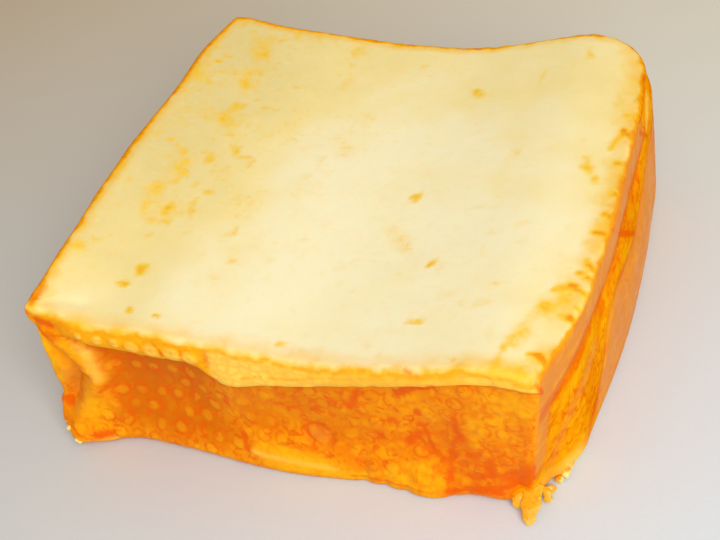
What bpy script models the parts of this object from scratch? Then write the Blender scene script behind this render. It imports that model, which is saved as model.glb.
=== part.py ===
"""A square block of muenster cheese: a slab cut across a washed loaf.

The pale cut faces are the top and the bottom, and the four sides are orange rind.
The top is dished, the front rind is folded under a lip, one front corner is pinched
and the other is torn, and the right side hangs in long folds.
Shapes are worked out in millimetres from the front left bottom corner, with X to the
right along the front, Y to the back and Z up, then moved to the middle of the base.
"""
import math

import bmesh
import bpy
import numpy as np

MM = 0.001

# The slab, in millimetres. The middle of the base becomes the origin.
WIDTH = 100.0
DEPTH = 101.0
HEIGHT = 36.3
MIDDLE = (50.6, 49.2)
RIM_RADIUS = 2.0
FOOT_RADIUS = 1.8

# How square each corner is in plan: a higher power is a sharper corner.
CORNER_POWER = {"front_left": 150.0, "front_right": 70.0, "back_left": 90.0, "back_right": 8.0}

# Plan edges of the top, each a smooth curve through a few places.
LEFT_EDGE = [(0, -0.8), (22, -2.2), (42, -3.2), (70, -2.3), (86, -2.2), (101, 0.3)]
RIGHT_EDGE = [(0, 100.2), (10, 101.0), (22, 102.2), (64, 102.6), (80, 101.8), (101, 100.8)]
BACK_EDGE = [(0, 102.4), (20, 100.3), (38, 99.6), (58, 99.2), (74, 100.5), (88, 102.0), (100, 101.6)]
FRONT_EDGE = [(0, -0.4), (12, 0.2), (50, 0.0), (88, 0.2), (100, -0.2)]

# The dish: how deep the cut face sinks at the back and the front, in what parts along each.
DISH_BACK = 3.6
DISH_FRONT = 4.2
DISH_BLEND = (-10.0, 111.0)
FRONT_SINK = [
    (0, -0.1), (4, 0.2), (11, 0.60), (24, 0.60), (38, 0.78),
    (54, 1.0), (66, 0.78), (78, 0.38), (89, 0.0), (100, 0.1),
]
BACK_SINK = [
    (0, 0.0), (10, 0.2), (22, 0.52), (36, 0.86), (54, 1.0),
    (64, 0.92), (76, 0.45), (88, 0.0), (100, 0.2),
]

# The relief of a side fades over the last part of the way to its corners.
SIDE_REACH = (0.78, 1.0)

# The fold along the top of the front: its lower edge, how far it stands out, and its ends.
LIP_LOW = [
    (0, 31.0), (10, 29.0), (24, 27.7), (34.5, 26.8), (37.4, 24.2),
    (46, 24.7), (60, 27.4), (74, 29.9), (90, 32.5),
]
LIP_OUT = 1.3
LIP_EDGE_BELOW = 1.6
LIP_EDGE_ABOVE = 0.8
LIP_GROWS = (3.0, 12.0)
LIP_DIES = (76.0, 92.0)

# The pocket under the fold: deep to the left of a slanting crease, shallow to its right.
CREASE = [(4, 41.5), (8, 39.5), (17, 35.6), (24.5, 37.6), (30, 38.5)]
CREASE_LEFT = 3.0
CREASE_RIGHT = 2.0
POCKET_DEPTH = 3.4
SHALLOW_DEPTH = 1.4
POCKET_GROWS = (8.0, 14.0)
POCKET_DIES = (74.0, 88.0)
POCKET_SHARE_LOST = 0.9
POCKET_UPWARDS = (0.0, 17.0)

# How far the foot of the front stands out or is set back, and how far it lifts off the board.
FRONT_FOOT = [
    (0, 2.8), (5, 2.8), (11, 1.2), (24, 1.3), (36, 2.0), (47, 2.2), (56, 1.6),
    (63, 1.1), (70, 1.8), (76, 2.6), (83, 0.6), (90, 0.2), (96, -1.6), (100, -1.8),
]
FOOT_UPWARDS = (1.0, 13.0)
FOOT_LIFT = [(0, 0.6), (8, 0.1), (14, 0.5), (32, 0.4), (40, 0.0), (78, 0.0), (85, 0.5), (92, 0.2), (100, 0.2)]
LIFT_UPWARDS = (0.0, 9.0)

# A round scar low on the front: place, size and depth.
SCAR_PLACE = (54.3, 10.8)
SCAR_SIZE = (3.0, 2.4)
SCAR_DEPTH = 0.7

# The pinched front left corner: a valley between two ridges, a curled tip, a knob and a cut foot.
VALLEY = [(10, 1.2), (14, 2.4), (18.5, 4.2), (21, 3.6), (26, 1.8), (32, -0.2)]
VALLEY_DEPTH = 2.2
VALLEY_WIDTH = 2.0
VALLEY_STARTS = (7.0, 13.0)
VALLEY_ENDS = (29.0, 33.0)
RIDGE = [(0, 0.0), (5, 2.4), (10, 4.4), (14.5, 6.9), (18.5, 9.0), (21, 8.2), (25.5, 6.0), (29, 3.6), (33, 1.6)]
RIDGE_OUT = 1.1
RIDGE_WIDTH = 2.6
RIDGE_ENDS = (30.0, 33.0)
TIP_OUT = 0.5
TIP_REACH = (0.0, 9.0)
TIP_UPWARDS = (22.0, 33.0)
KNOB_OUT = 1.1
KNOB_PLACE = (1.0, 7.0)
KNOB_SIZE = (5.0, 4.5)
CUT_DEPTH = 1.5
CUT_REACH = (0.0, 7.0)
CUT_UPWARDS = (1.0, 6.0)

# The right side: a low belly, a groove close under the cut face, and a second one that climbs from
# the foot behind the torn corner and then runs beside the first, with a roll between them.
BELLY_OUT = 2.2
BELLY_HEIGHT = 9.0
BELLY_WIDTH = 14.0
BELLY_GROWS = (14.0, 55.0)
BELLY_DIES = (84.0, 100.0)
UPPER_FOLD = [(0, 25.0), (12, 26.4), (20, 27.6), (40, 28.4), (50, 29.2), (61, 28.4), (72, 30.5), (101, 33.5)]
LOWER_FOLD = [(0, 2.0), (20, 3.5), (25, 8.5), (28, 14.0), (31, 19.0), (36, 20.6), (43, 19.8), (55, 18.0),
              (70, 22.0), (77, 25.6), (101, 31.0)]
FOLD_WIDTH = 2.0
FOLD_TOP = (30.0, 34.0)
UPPER_DEPTH = 0.6
UPPER_GROWS = (1.0, 14.0)
UPPER_DIES = (62.0, 76.0)
LOWER_DEPTH = 0.7
LOWER_GROWS = (20.0, 30.0)
LOWER_DIES = (66.0, 80.0)
ROLL_OUT = 0.6
ROLL_WIDTH = 3.0
ROLL_DIES = (60.0, 78.0)

# The front right corner is pulled in, more at the foot. The rind stands out again near the back.
TORN_IN = 1.6
TORN_IN_FOOT = 3.6
TORN_REACH = (0.0, 17.0)
PEEL_OUT = 1.1
PEEL_PLACE = 84.0
PEEL_WIDTH = 14.0
PEEL_UPWARDS = (10.0, 26.0)
PEEL_ENDS = (31.0, 34.0)

# Curd squeezed out along the foot, behind the torn corner.
SQUEEZED_OUT = 0.7
SQUEEZED_PLACE = (8.0, 1.4)
SQUEEZED_SIZE = (7.0, 1.3)

# The left side: a soft roll and two dents, each with depth, place and size.
SIDE_ROLL_OUT = 0.8
SIDE_ROLL_HEIGHT = 19.0
SIDE_ROLL_WIDTH = 11.0
SIDE_ROLL_GROWS = (12.0, 40.0)
SIDE_ROLL_DIES = (75.0, 98.0)
DENTS = [(0.7, (34.0, 11.0), (9.0, 5.0)), (0.6, (71.0, 24.0), (12.0, 5.0))]

# The back: a waist at half height, and shallow upright folds.
WAIST_IN = 1.3
WAIST_HEIGHT = 18.0
WAIST_WIDTH = 10.0
WAIST_GROWS = (6.0, 30.0)
WAIST_DIES = (70.0, 95.0)
BACK_FOLD_OUT = 0.45
BACK_FOLD_LENGTH = 6.5
BACK_FOLD_LEAN = 19.0
BACK_FOLD_HEIGHT = 17.0
BACK_FOLD_WIDTH = 11.0

# The torn flap of rind and the curds at the foot of the front right corner.
FLAP_START = (94.4, 3.0, 4.6)
FLAP_END = (94.9, -4.0, 0.9)
FLAP_WIDTH = (3.8, 2.4)
FLAP_THICK = 1.3
FLAP_BOW = 0.3
FLAP_STEPS = 6
FLAP_SIDES = 8
BLUNT_FROM = 0.7
BLUNT_LENGTH = 0.32
CURDS = [(96.2, 2.6, 1.2, 1.2), (97.3, 5.0, 1.2, 1.1)]
CURD_SHAPE = (1.15, 1.0, 0.8)

# Mesh density.
SIDE_STEPS = 36
WALL_STEPS = 18
CORNER_CROWD = 0.15
ARC_STEPS = 3

RIND_COLOUR = (0.87, 0.29, 0.01, 1.0)
RIND_ROUGHNESS = 0.45
SMALL = 1e-6


def smooth(value, low, high):
    """Rises from 0 at low to 1 at high, with level ends."""
    part = np.clip((value - low) / (high - low), 0.0, 1.0)
    return part * part * (3.0 - 2.0 * part)


def fading(value, low, high):
    """Falls from 1 at low to 0 at high, with level ends."""
    return 1.0 - smooth(value, low, high)


def bump(value, centre, width):
    """A round hump: 1 at the centre, falling to 1/e at one width from it."""
    return np.exp(-(((value - centre) / width) ** 2))


def spot(first, second, place, size):
    """A round hump over two directions."""
    return bump(first, place[0], size[0]) * bump(second, place[1], size[1])


def curve(value, points):
    """A smooth curve through the points, in cubic pieces that share their slopes."""
    place, height = np.array(points, float).T
    slope = np.gradient(height, place)
    piece = np.clip(np.searchsorted(place, value) - 1, 0, len(place) - 2)
    gap = place[piece + 1] - place[piece]
    part = np.clip((value - place[piece]) / gap, 0.0, 1.0)
    rest = 1.0 - part
    return (
        (1.0 + 2.0 * part) * rest**2 * height[piece]
        + part * rest**2 * gap * slope[piece]
        + part**2 * (3.0 - 2.0 * part) * height[piece + 1]
        - part**2 * rest * gap * slope[piece + 1]
    )


def plan(across, deep):
    """Place in plan of a point of the square from -1 to 1 each way.

    Each ring of the square becomes a ring with rounded corners, which is then
    stretched between the left and right edges and between the front and back edges.
    """
    right_part, back_part = (1.0 + across) / 2.0, (1.0 + deep) / 2.0
    softness = (
        (1.0 - right_part) * (1.0 - back_part) / CORNER_POWER["front_left"]
        + right_part * (1.0 - back_part) / CORNER_POWER["front_right"]
        + (1.0 - right_part) * back_part / CORNER_POWER["back_left"]
        + right_part * back_part / CORNER_POWER["back_right"]
    )
    ring = np.maximum(np.maximum(abs(across), abs(deep)), SMALL)
    spread = (abs(across) / ring) ** (1.0 / softness) + (abs(deep) / ring) ** (1.0 / softness)
    scale = np.maximum(spread, 1.0) ** -softness
    right_part, back_part = (1.0 + across * scale) / 2.0, (1.0 + deep * scale) / 2.0
    along_x, along_y = WIDTH * right_part, DEPTH * back_part
    left, right = curve(along_y, LEFT_EDGE), curve(along_y, RIGHT_EDGE)
    front, back = curve(along_x, FRONT_EDGE), curve(along_x, BACK_EDGE)
    return left + (right - left) * right_part, front + (back - front) * back_part


def top_height(x, y):
    """Height of the cut face: full at the corners, sunk between them."""
    back_part = smooth(y, *DISH_BLEND)
    sink_front = DISH_FRONT * curve(x, FRONT_SINK)
    sink_back = DISH_BACK * curve(x, BACK_SINK)
    return HEIGHT - sink_front * (1.0 - back_part) - sink_back * back_part


def front_out(x, z):
    """How far the front stands out at a place: lip, pocket, crease, foot and pinched corner."""
    low = curve(x, LIP_LOW)
    on_lip = smooth(z, low - LIP_EDGE_BELOW, low + LIP_EDGE_ABOVE)
    lip = LIP_OUT * smooth(x, *LIP_GROWS) * fading(x, *LIP_DIES)
    crease_x = curve(z, CREASE)
    right_part = smooth(x, crease_x - CREASE_LEFT, crease_x + CREASE_RIGHT)
    depth = POCKET_DEPTH + (SHALLOW_DEPTH - POCKET_DEPTH) * right_part
    depth = depth * smooth(x, *POCKET_GROWS) * (1.0 - POCKET_SHARE_LOST * smooth(x, *POCKET_DIES))
    pocket = depth * smooth(z, *POCKET_UPWARDS)
    foot = curve(x, FRONT_FOOT) * fading(z, *FOOT_UPWARDS)
    scar = SCAR_DEPTH * spot(x, z, SCAR_PLACE, SCAR_SIZE)
    valley = VALLEY_DEPTH * bump(x, curve(z, VALLEY), VALLEY_WIDTH)
    valley = valley * smooth(z, *VALLEY_STARTS) * fading(z, *VALLEY_ENDS)
    ridge = RIDGE_OUT * bump(x, curve(z, RIDGE), RIDGE_WIDTH) * fading(z, *RIDGE_ENDS)
    return lip * on_lip - pocket * (1.0 - on_lip) + foot - scar - valley + ridge


def right_out(y, z):
    """How far the right side stands out: belly, long folds, torn corner, peeling rind and curd."""
    belly = BELLY_OUT * bump(z, BELLY_HEIGHT, BELLY_WIDTH) * smooth(y, *BELLY_GROWS) * fading(y, *BELLY_DIES)
    upper_z, lower_z = curve(y, UPPER_FOLD), curve(y, LOWER_FOLD)
    upper = UPPER_DEPTH * bump(z, upper_z, FOLD_WIDTH) * smooth(y, *UPPER_GROWS) * fading(y, *UPPER_DIES)
    lower = LOWER_DEPTH * bump(z, lower_z, FOLD_WIDTH) * smooth(y, *LOWER_GROWS) * fading(y, *LOWER_DIES)
    roll = ROLL_OUT * bump(z, (upper_z + lower_z) / 2.0, ROLL_WIDTH)
    roll = roll * smooth(y, *LOWER_GROWS) * fading(y, *ROLL_DIES)
    torn = (TORN_IN + TORN_IN_FOOT * (1.0 - z / HEIGHT)) * fading(y, *TORN_REACH)
    peel = PEEL_OUT * bump(y, PEEL_PLACE, PEEL_WIDTH) * smooth(z, *PEEL_UPWARDS) * fading(z, *PEEL_ENDS)
    squeezed = SQUEEZED_OUT * spot(y, z, SQUEEZED_PLACE, SQUEEZED_SIZE)
    return belly + (roll - upper - lower) * fading(z, *FOLD_TOP) - torn + peel + squeezed


def left_out(y, z):
    """How far the left side stands out: a soft roll, two dents, and the front corner's tip and foot."""
    roll = SIDE_ROLL_OUT * bump(z, SIDE_ROLL_HEIGHT, SIDE_ROLL_WIDTH)
    roll = roll * smooth(y, *SIDE_ROLL_GROWS) * fading(y, *SIDE_ROLL_DIES)
    dents = sum(depth * spot(y, z, place, size) for depth, place, size in DENTS)
    tip = TIP_OUT * fading(y, *TIP_REACH) * smooth(z, *TIP_UPWARDS)
    knob = KNOB_OUT * spot(y, z, KNOB_PLACE, KNOB_SIZE)
    cut = CUT_DEPTH * fading(z, *CUT_UPWARDS) * fading(y, *CUT_REACH)
    return roll - dents + tip + knob - cut


def back_out(x, z):
    """How far the back stands out: pulled in at half height, with shallow upright folds."""
    waist = WAIST_IN * bump(z, WAIST_HEIGHT, WAIST_WIDTH) * smooth(x, *WAIST_GROWS) * fading(x, *WAIST_DIES)
    wave = np.sin(x / BACK_FOLD_LENGTH + z / BACK_FOLD_LEAN)
    folds = BACK_FOLD_OUT * wave * bump(z, BACK_FOLD_HEIGHT, BACK_FOLD_WIDTH)
    return folds - waist


def with_relief(across, deep, x, y, z):
    """Moves points of the plain slab out or in by the relief of the sides."""
    front, back = smooth(-deep, *SIDE_REACH), smooth(deep, *SIDE_REACH)
    left, right = smooth(-across, *SIDE_REACH), smooth(across, *SIDE_REACH)
    shift_x = right * right_out(y, z) - left * left_out(y, z)
    shift_y = back * back_out(x, z) - front * front_out(x, z)
    return x + shift_x, y + shift_y


def slab_ring(across, deep, inset, height_of):
    """Points of one level round the block, drawn in from the edge by the inset."""
    scale = 1.0 - inset / (WIDTH / 2.0)
    x, y = plan(across * scale, deep * scale)
    z = height_of(x, y)
    lift = curve(x, FOOT_LIFT) * fading(z, *LIFT_UPWARDS) * smooth(-deep, *SIDE_REACH)
    lift = lift * fading(inset, 0.0, FOOT_RADIUS)
    x, y = with_relief(across, deep, x, y, z)
    return np.stack([x, y, z + lift], axis=-1)


def spaced(steps):
    """Places from -1 to 1 that lie closer together towards both ends."""
    even = np.linspace(-1.0, 1.0, steps + 1)
    return even + CORNER_CROWD * np.sin(math.pi * even)


def square_edge(steps):
    """The edge of the square, counterclockwise from its front left corner."""
    run = spaced(steps)[:-1]
    one = np.ones(steps)
    across = np.concatenate([run, one, -run, -one])
    deep = np.concatenate([-one, run, one, -run])
    return across, deep


def levels():
    """Inset from the edge and a height rule for each level, from the rim to the foot."""
    found = []
    for step in range(1, ARC_STEPS + 1):
        turn = step / ARC_STEPS * math.pi / 2.0
        drop = RIM_RADIUS * (1.0 - math.cos(turn))
        found.append((RIM_RADIUS * (1.0 - math.sin(turn)), lambda x, y, drop=drop: top_height(x, y) - drop))
    for step in range(1, WALL_STEPS + 1):
        part = step / WALL_STEPS

        def wall(x, y, part=part):
            return (top_height(x, y) - RIM_RADIUS) * (1.0 - part) + FOOT_RADIUS * part

        found.append((0.0, wall))
    for step in range(1, ARC_STEPS + 1):
        turn = step / ARC_STEPS * math.pi / 2.0
        rest = FOOT_RADIUS * (1.0 - math.sin(turn))
        found.append((FOOT_RADIUS * (1.0 - math.cos(turn)), lambda x, y, rest=rest: rest + 0.0 * x))
    return found


def block_mesh():
    """The block: a grid for the cut face, rings down the sides and one flat face below."""
    run = spaced(SIDE_STEPS)
    across, deep = np.meshgrid(run, run)
    top = slab_ring(across, deep, RIM_RADIUS, top_height)
    edge_across, edge_deep = square_edge(SIDE_STEPS)
    column = np.searchsorted(run, edge_across - SMALL)
    row = np.searchsorted(run, edge_deep - SMALL)
    rings = [slab_ring(edge_across, edge_deep, inset, rule) for inset, rule in levels()]

    mesh = bmesh.new()
    grid = [[mesh.verts.new(point) for point in line] for line in top]
    for j in range(SIDE_STEPS):
        for i in range(SIDE_STEPS):
            mesh.faces.new((grid[j][i], grid[j][i + 1], grid[j + 1][i + 1], grid[j + 1][i]))
    upper = [grid[j][i] for i, j in zip(column, row)]
    for ring in rings:
        lower = [mesh.verts.new(point) for point in ring]
        for k in range(len(lower)):
            after = (k + 1) % len(lower)
            mesh.faces.new((upper[k], lower[k], lower[after], upper[after]))
        upper = lower
    bmesh.ops.triangulate(mesh, faces=mesh.faces[:], quad_method="SHORT_EDGE")
    mesh.faces.new(list(reversed(upper)))
    return mesh


def flap_mesh():
    """The torn flap: a short blunt tongue of rind that droops to the board."""
    start, end = np.array(FLAP_START), np.array(FLAP_END)
    mesh = bmesh.new()
    loops = []
    for step in range(FLAP_STEPS + 1):
        part = step / FLAP_STEPS
        middle = start + (end - start) * part
        middle[0] += FLAP_BOW * math.sin(part * math.pi)
        half = (FLAP_WIDTH[0] * (1.0 - part) + FLAP_WIDTH[1] * part) / 2.0
        half *= math.sqrt(max(1.0 - (max(part - BLUNT_FROM, 0.0) / BLUNT_LENGTH) ** 2, 0.0))
        loop = []
        for side in range(FLAP_SIDES):
            turn = side / FLAP_SIDES * 2.0 * math.pi
            out = np.array((half * math.cos(turn), 0.0, FLAP_THICK / 2.0 * math.sin(turn)))
            loop.append(mesh.verts.new(middle + out))
        loops.append(loop)
    for near, far in zip(loops, loops[1:]):
        for side in range(FLAP_SIDES):
            after = (side + 1) % FLAP_SIDES
            mesh.faces.new((near[side], near[after], far[after], far[side]))
    mesh.faces.new(list(reversed(loops[0])))
    mesh.faces.new(loops[-1])
    return mesh


def curd_mesh(x, y, z, radius):
    """A squeezed curd: a small ball, a little flattened."""
    mesh = bmesh.new()
    bmesh.ops.create_icosphere(mesh, subdivisions=2, radius=radius)
    bmesh.ops.scale(mesh, vec=CURD_SHAPE, verts=mesh.verts)
    bmesh.ops.translate(mesh, vec=(x, y, z), verts=mesh.verts)
    return mesh


def rind_material():
    """Orange rind, a little shiny."""
    material = bpy.data.materials.new("orange_rind")
    material.use_nodes = True
    shader = material.node_tree.nodes["Principled BSDF"]
    shader.inputs["Base Color"].default_value = RIND_COLOUR
    shader.inputs["Roughness"].default_value = RIND_ROUGHNESS
    shader.inputs["Metallic"].default_value = 0.0
    return material


def to_object(name, mesh):
    """Moves a mesh to the middle of the base, turns millimetres into metres and links it."""
    bmesh.ops.translate(mesh, vec=(-MIDDLE[0], -MIDDLE[1], 0.0), verts=mesh.verts)
    bmesh.ops.scale(mesh, vec=(MM, MM, MM), verts=mesh.verts)
    bmesh.ops.recalc_face_normals(mesh, faces=mesh.faces)
    data = bpy.data.meshes.new(name)
    mesh.to_mesh(data)
    mesh.free()
    data.shade_smooth()
    made = bpy.data.objects.new(name, data)
    bpy.context.scene.collection.objects.link(made)
    return made


def join_by_union(block, extras):
    """Joins the small pieces to the block with one Boolean union, and removes them."""
    group = bpy.data.collections.new("joined_pieces")
    bpy.context.scene.collection.children.link(group)
    for extra in extras:
        bpy.context.scene.collection.objects.unlink(extra)
        group.objects.link(extra)
    union = block.modifiers.new("union", "BOOLEAN")
    union.operation = "UNION"
    union.operand_type = "COLLECTION"
    union.collection = group
    union.solver = "EXACT"
    bpy.context.view_layer.objects.active = block
    bpy.ops.object.modifier_apply(modifier=union.name)
    for extra in extras:
        bpy.data.objects.remove(extra)
    bpy.data.collections.remove(group)


def main():
    """Builds the block, its flap and its curds, and joins them into one solid."""
    for old in list(bpy.data.objects):
        bpy.data.objects.remove(old)
    block = to_object("muenster_block", block_mesh())
    extras = [to_object("torn_flap", flap_mesh())]
    for number, curd in enumerate(CURDS):
        extras.append(to_object(f"curd_{number}", curd_mesh(*curd)))
    block.data.materials.append(rind_material())
    join_by_union(block, extras)


main()
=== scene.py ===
# %% [markdown]
# # A block of muenster cheese
#
# Muenster is pressed in square loaves and washed with annatto, which stains its skin orange.
# This block is a slab cut across such a loaf, so its top and bottom are pale cut faces and its
# four sides are wrinkled rind. The cheese stays one closed surface here. It is worked out with
# numpy, like a sheet wrapped round the block, and it replaces the plain solid of the CAD model.

# %% Load the fixed frame
import math

import bpy
import numpy as np
from mathutils import Matrix, Vector


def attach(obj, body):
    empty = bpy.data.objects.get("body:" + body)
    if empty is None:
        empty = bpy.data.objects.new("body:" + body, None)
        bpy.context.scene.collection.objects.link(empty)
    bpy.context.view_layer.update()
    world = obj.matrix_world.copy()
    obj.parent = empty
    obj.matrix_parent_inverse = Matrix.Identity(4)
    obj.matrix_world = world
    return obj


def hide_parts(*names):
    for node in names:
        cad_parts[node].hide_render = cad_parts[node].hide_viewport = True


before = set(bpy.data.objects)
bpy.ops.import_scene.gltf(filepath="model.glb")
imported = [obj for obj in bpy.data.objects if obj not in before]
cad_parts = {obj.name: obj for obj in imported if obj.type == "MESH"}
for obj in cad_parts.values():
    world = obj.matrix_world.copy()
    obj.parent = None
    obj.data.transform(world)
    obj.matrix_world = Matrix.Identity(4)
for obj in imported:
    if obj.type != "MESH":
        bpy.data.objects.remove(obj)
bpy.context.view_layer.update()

MM = 0.001
NODE = "muenster_block"

# %% [markdown]
# ## A few soft curves
#
# Food has no sharp rules, so nearly every shape below is a smooth step, a round bump or a curve
# through a few places that were read off the block. A cloud is soft random relief: it makes the
# surface uneven without repeating itself, and its seed keeps it the same each time.

# %% Steps, bumps, curves and clouds
LATTICE = 48


def smooth(value, low, high):
    """Rises from 0 at low to 1 at high: 3t^2 - 2t^3 of the part t of the way."""
    part = np.clip((value - low) / (high - low), 0.0, 1.0)
    return part * part * (3.0 - 2.0 * part)


def fading(value, low, high):
    """Falls from 1 at low to 0 at high: 1 minus the smooth step."""
    return 1.0 - smooth(value, low, high)


def bump(value, centre, width):
    """A round hump, e to the minus square of the distance in widths."""
    return np.exp(-(((value - centre) / width) ** 2))


def blob(strength, first, second, centre, size):
    """A soft spot: its strength times a bump each way."""
    return strength * bump(first, centre[0], size[0]) * bump(second, centre[1], size[1])


def curve(value, points):
    """Cubic Hermite curve through (place, height) points that share their slopes."""
    place, height = np.array(points, float).T
    slope = np.gradient(height, place)
    piece = np.clip(np.searchsorted(place, value) - 1, 0, len(place) - 2)
    gap = place[piece + 1] - place[piece]
    part = np.clip((value - place[piece]) / gap, 0.0, 1.0)
    rest = 1.0 - part
    return (
        (1.0 + 2.0 * part) * rest**2 * height[piece]
        + part * rest**2 * gap * slope[piece]
        + part**2 * (3.0 - 2.0 * part) * height[piece + 1]
        - part**2 * rest * gap * slope[piece + 1]
    )


def along(value, points):
    """Straight lines through (place, value) points."""
    return np.interp(value, *np.array(points, float).T)


def cloud(x, y, z, size, seed):
    """Soft noise from -1 to 1: random values on a lattice of the given size, blended by smooth steps."""
    lattice = np.random.default_rng(seed).uniform(-1.0, 1.0, (LATTICE,) * 3)
    place = np.stack(np.broadcast_arrays(x, y, z), axis=-1) / size + 0.37
    cell = np.floor(place).astype(int)
    part = place - cell
    part = part * part * (3.0 - 2.0 * part)
    total = 0.0
    for corner in np.ndindex(2, 2, 2):
        weight = np.prod(np.where(corner, part, 1.0 - part), axis=-1)
        near = (cell + corner) % LATTICE
        total = total + weight * lattice[near[..., 0], near[..., 1], near[..., 2]]
    return total


print("cloud at the origin:", round(float(cloud(0.0, 0.0, 0.0, 5.0, 1)), 3))

# %% [markdown]
# ## The plan and the dished cut face
#
# Seen from above the block is a square that has slumped. The left and right sides bow out, the
# back is pulled in, one back corner is rounded off and the others are sharp. The cut face hangs
# between its corners like cloth. A point of a plain square is first drawn onto rings with rounded
# corners, and then stretched between the four edges. Everything is in millimetres from the front
# left foot, with X along the front, Y to the back and Z up.

# %% Plan of the block
WIDTH, DEPTH, HEIGHT = 100.0, 101.0, 36.3
HALF = WIDTH / 2.0
MIDDLE = (50.6, 49.2)
CORNER_REACH = 0.78
CORNER_POWER = {"front_left": 150.0, "front_right": 70.0, "back_left": 90.0, "back_right": 8.0}
LEFT_EDGE = [(0, -0.8), (22, -2.2), (42, -3.2), (70, -2.3), (86, -2.2), (101, 0.3)]
RIGHT_EDGE = [(0, 100.2), (10, 101.0), (22, 102.2), (64, 102.6), (80, 101.8), (101, 100.8)]
BACK_EDGE = [(0, 102.4), (20, 100.3), (38, 99.6), (58, 99.2), (74, 100.5), (88, 102.0), (100, 101.6)]
FRONT_EDGE = [(0, -0.4), (12, 0.2), (50, 0.0), (88, 0.2), (100, -0.2)]


def plan(across, deep):
    """Plan place of a point of the square: its ring rounded by a superellipse, then stretched
    between the left and right edges and between the front and back edges."""
    right_part, back_part = (1.0 + across) / 2.0, (1.0 + deep) / 2.0
    softness = (
        (1 - right_part) * (1 - back_part) / CORNER_POWER["front_left"]
        + right_part * (1 - back_part) / CORNER_POWER["front_right"]
        + (1 - right_part) * back_part / CORNER_POWER["back_left"]
        + right_part * back_part / CORNER_POWER["back_right"]
    )
    ring = np.maximum(np.maximum(abs(across), abs(deep)), 1e-9)
    spread = (abs(across) / ring) ** (1.0 / softness) + (abs(deep) / ring) ** (1.0 / softness)
    scale = np.maximum(spread, 1.0) ** -softness
    right_part, back_part = (1.0 + across * scale) / 2.0, (1.0 + deep * scale) / 2.0
    along_x, along_y = WIDTH * right_part, DEPTH * back_part
    left, right = curve(along_y, LEFT_EDGE), curve(along_y, RIGHT_EDGE)
    front, back = curve(along_x, FRONT_EDGE), curve(along_x, BACK_EDGE)
    return left + (right - left) * right_part, front + (back - front) * back_part


# %% Height of the cut face
DISH_BACK, DISH_FRONT = 3.6, 4.2
FRONT_SINK = [
    (0, -0.1), (4, 0.2), (11, 0.60), (24, 0.60), (38, 0.78), (54, 1.0), (66, 0.78), (78, 0.38), (89, 0.0),
    (100, 0.1),
]
BACK_SINK = [
    (0, 0.0), (10, 0.2), (22, 0.52), (36, 0.86), (54, 1.0), (64, 0.92), (76, 0.45), (88, 0.0), (100, 0.2),
]
CORNER_CREASE, CREASE_DEPTH, CREASE_WIDTH = ((-1.0, 1.5), (9.0, 5.2)), 0.22, 1.2


def stroke(x, y, start, end, width):
    """A soft line from start to end: a bump of the distance to the nearest point of the segment."""
    run = np.array(end, float) - np.array(start, float)
    part = ((x - start[0]) * run[0] + (y - start[1]) * run[1]) / max(run @ run, 1e-9)
    part = np.clip(part, 0.0, 1.0)
    away = np.hypot(x - start[0] - part * run[0], y - start[1] - part * run[1])
    return bump(away, 0.0, width)


def strokes(x, y, rows):
    """Soft lines added up. A row gives both ends, the width and the strength."""
    return sum(row[5] * stroke(x, y, row[0:2], row[2:4], row[4]) for row in rows)


def top_height(x, y):
    """Full height at the corners, less a share of the dish between them, a crease and soft waves."""
    back_part = smooth(y, -10.0, DEPTH + 10.0)
    sink_front = DISH_FRONT * curve(x, FRONT_SINK)
    sink_back = DISH_BACK * curve(x, BACK_SINK)
    crease = CREASE_DEPTH * stroke(x, y, *CORNER_CREASE, CREASE_WIDTH)
    waves = 0.16 * cloud(x, y, 0.0, 17.0, 3) + 0.05 * cloud(x, y, 0.0, 4.0, 4)
    return HEIGHT - sink_front * (1.0 - back_part) - sink_back * back_part - crease + waves


print("cut face at the middle:", round(float(top_height(50.0, 50.0)), 2), "mm high")

# %% [markdown]
# ## The folded front
#
# The wet rind was folded under the knife: along the top of the front it stands out as a lip,
# with a notch where the fold changes. Under the lip the rind is sunk into a pocket, deep on the
# left and shallow on the right of a slanting crease. The foot flares out again, and near the left
# corner the skin is pinched into a valley between two ridges. All of it is one function of the
# place along the front and the height: how far that point stands out.

# %% Relief of the front
LIP_LOW = [
    (0, 31.0), (10, 29.0), (24, 27.7), (34.5, 26.8), (37.4, 24.2), (46, 24.7), (60, 27.4), (74, 29.9),
    (90, 32.5),
]
LIP_OUT, LIP_ROUND = 1.3, 1.6
LIP_GROWS, LIP_DIES = (3.0, 12.0), (76.0, 92.0)
POCKET_DEPTH, SHALLOW_DEPTH = 3.4, 1.4
POCKET_GROWS, POCKET_DIES, POCKET_UPWARDS = (8.0, 14.0), (74.0, 88.0), (0.0, 17.0)
CREASE = [(4, 41.5), (8, 39.5), (17, 35.6), (24.5, 37.6), (30, 38.5)]
FRONT_FOOT = [
    (0, 2.8), (5, 2.8), (11, 1.2), (24, 1.3), (36, 2.0), (47, 2.2), (56, 1.6), (63, 1.1), (70, 1.8),
    (76, 2.6), (83, 0.6), (90, 0.2), (96, -1.6), (100, -1.8),
]
VALLEY = [(10, 1.2), (14, 2.4), (18.5, 4.2), (21, 3.6), (26, 1.8), (32, -0.2)]
VALLEY_DEPTH, VALLEY_WIDTH, VALLEY_STARTS, VALLEY_ENDS = 2.0, 1.4, (7.0, 13.0), (29.0, 33.0)
RIDGE = [
    (0, 0.0), (5, 2.4), (10, 4.4), (14.5, 6.9), (18.5, 9.0), (21, 8.2), (25.5, 6.0), (29, 3.6), (33, 1.6),
]
RIDGE_OUT, RIDGE_WIDTH, RIDGE_ENDS = 1.2, 2.2, (30.0, 33.0)
SCAR_X, SCAR_Z, SCAR_RADIUS = 54.3, 10.6, 2.6
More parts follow.
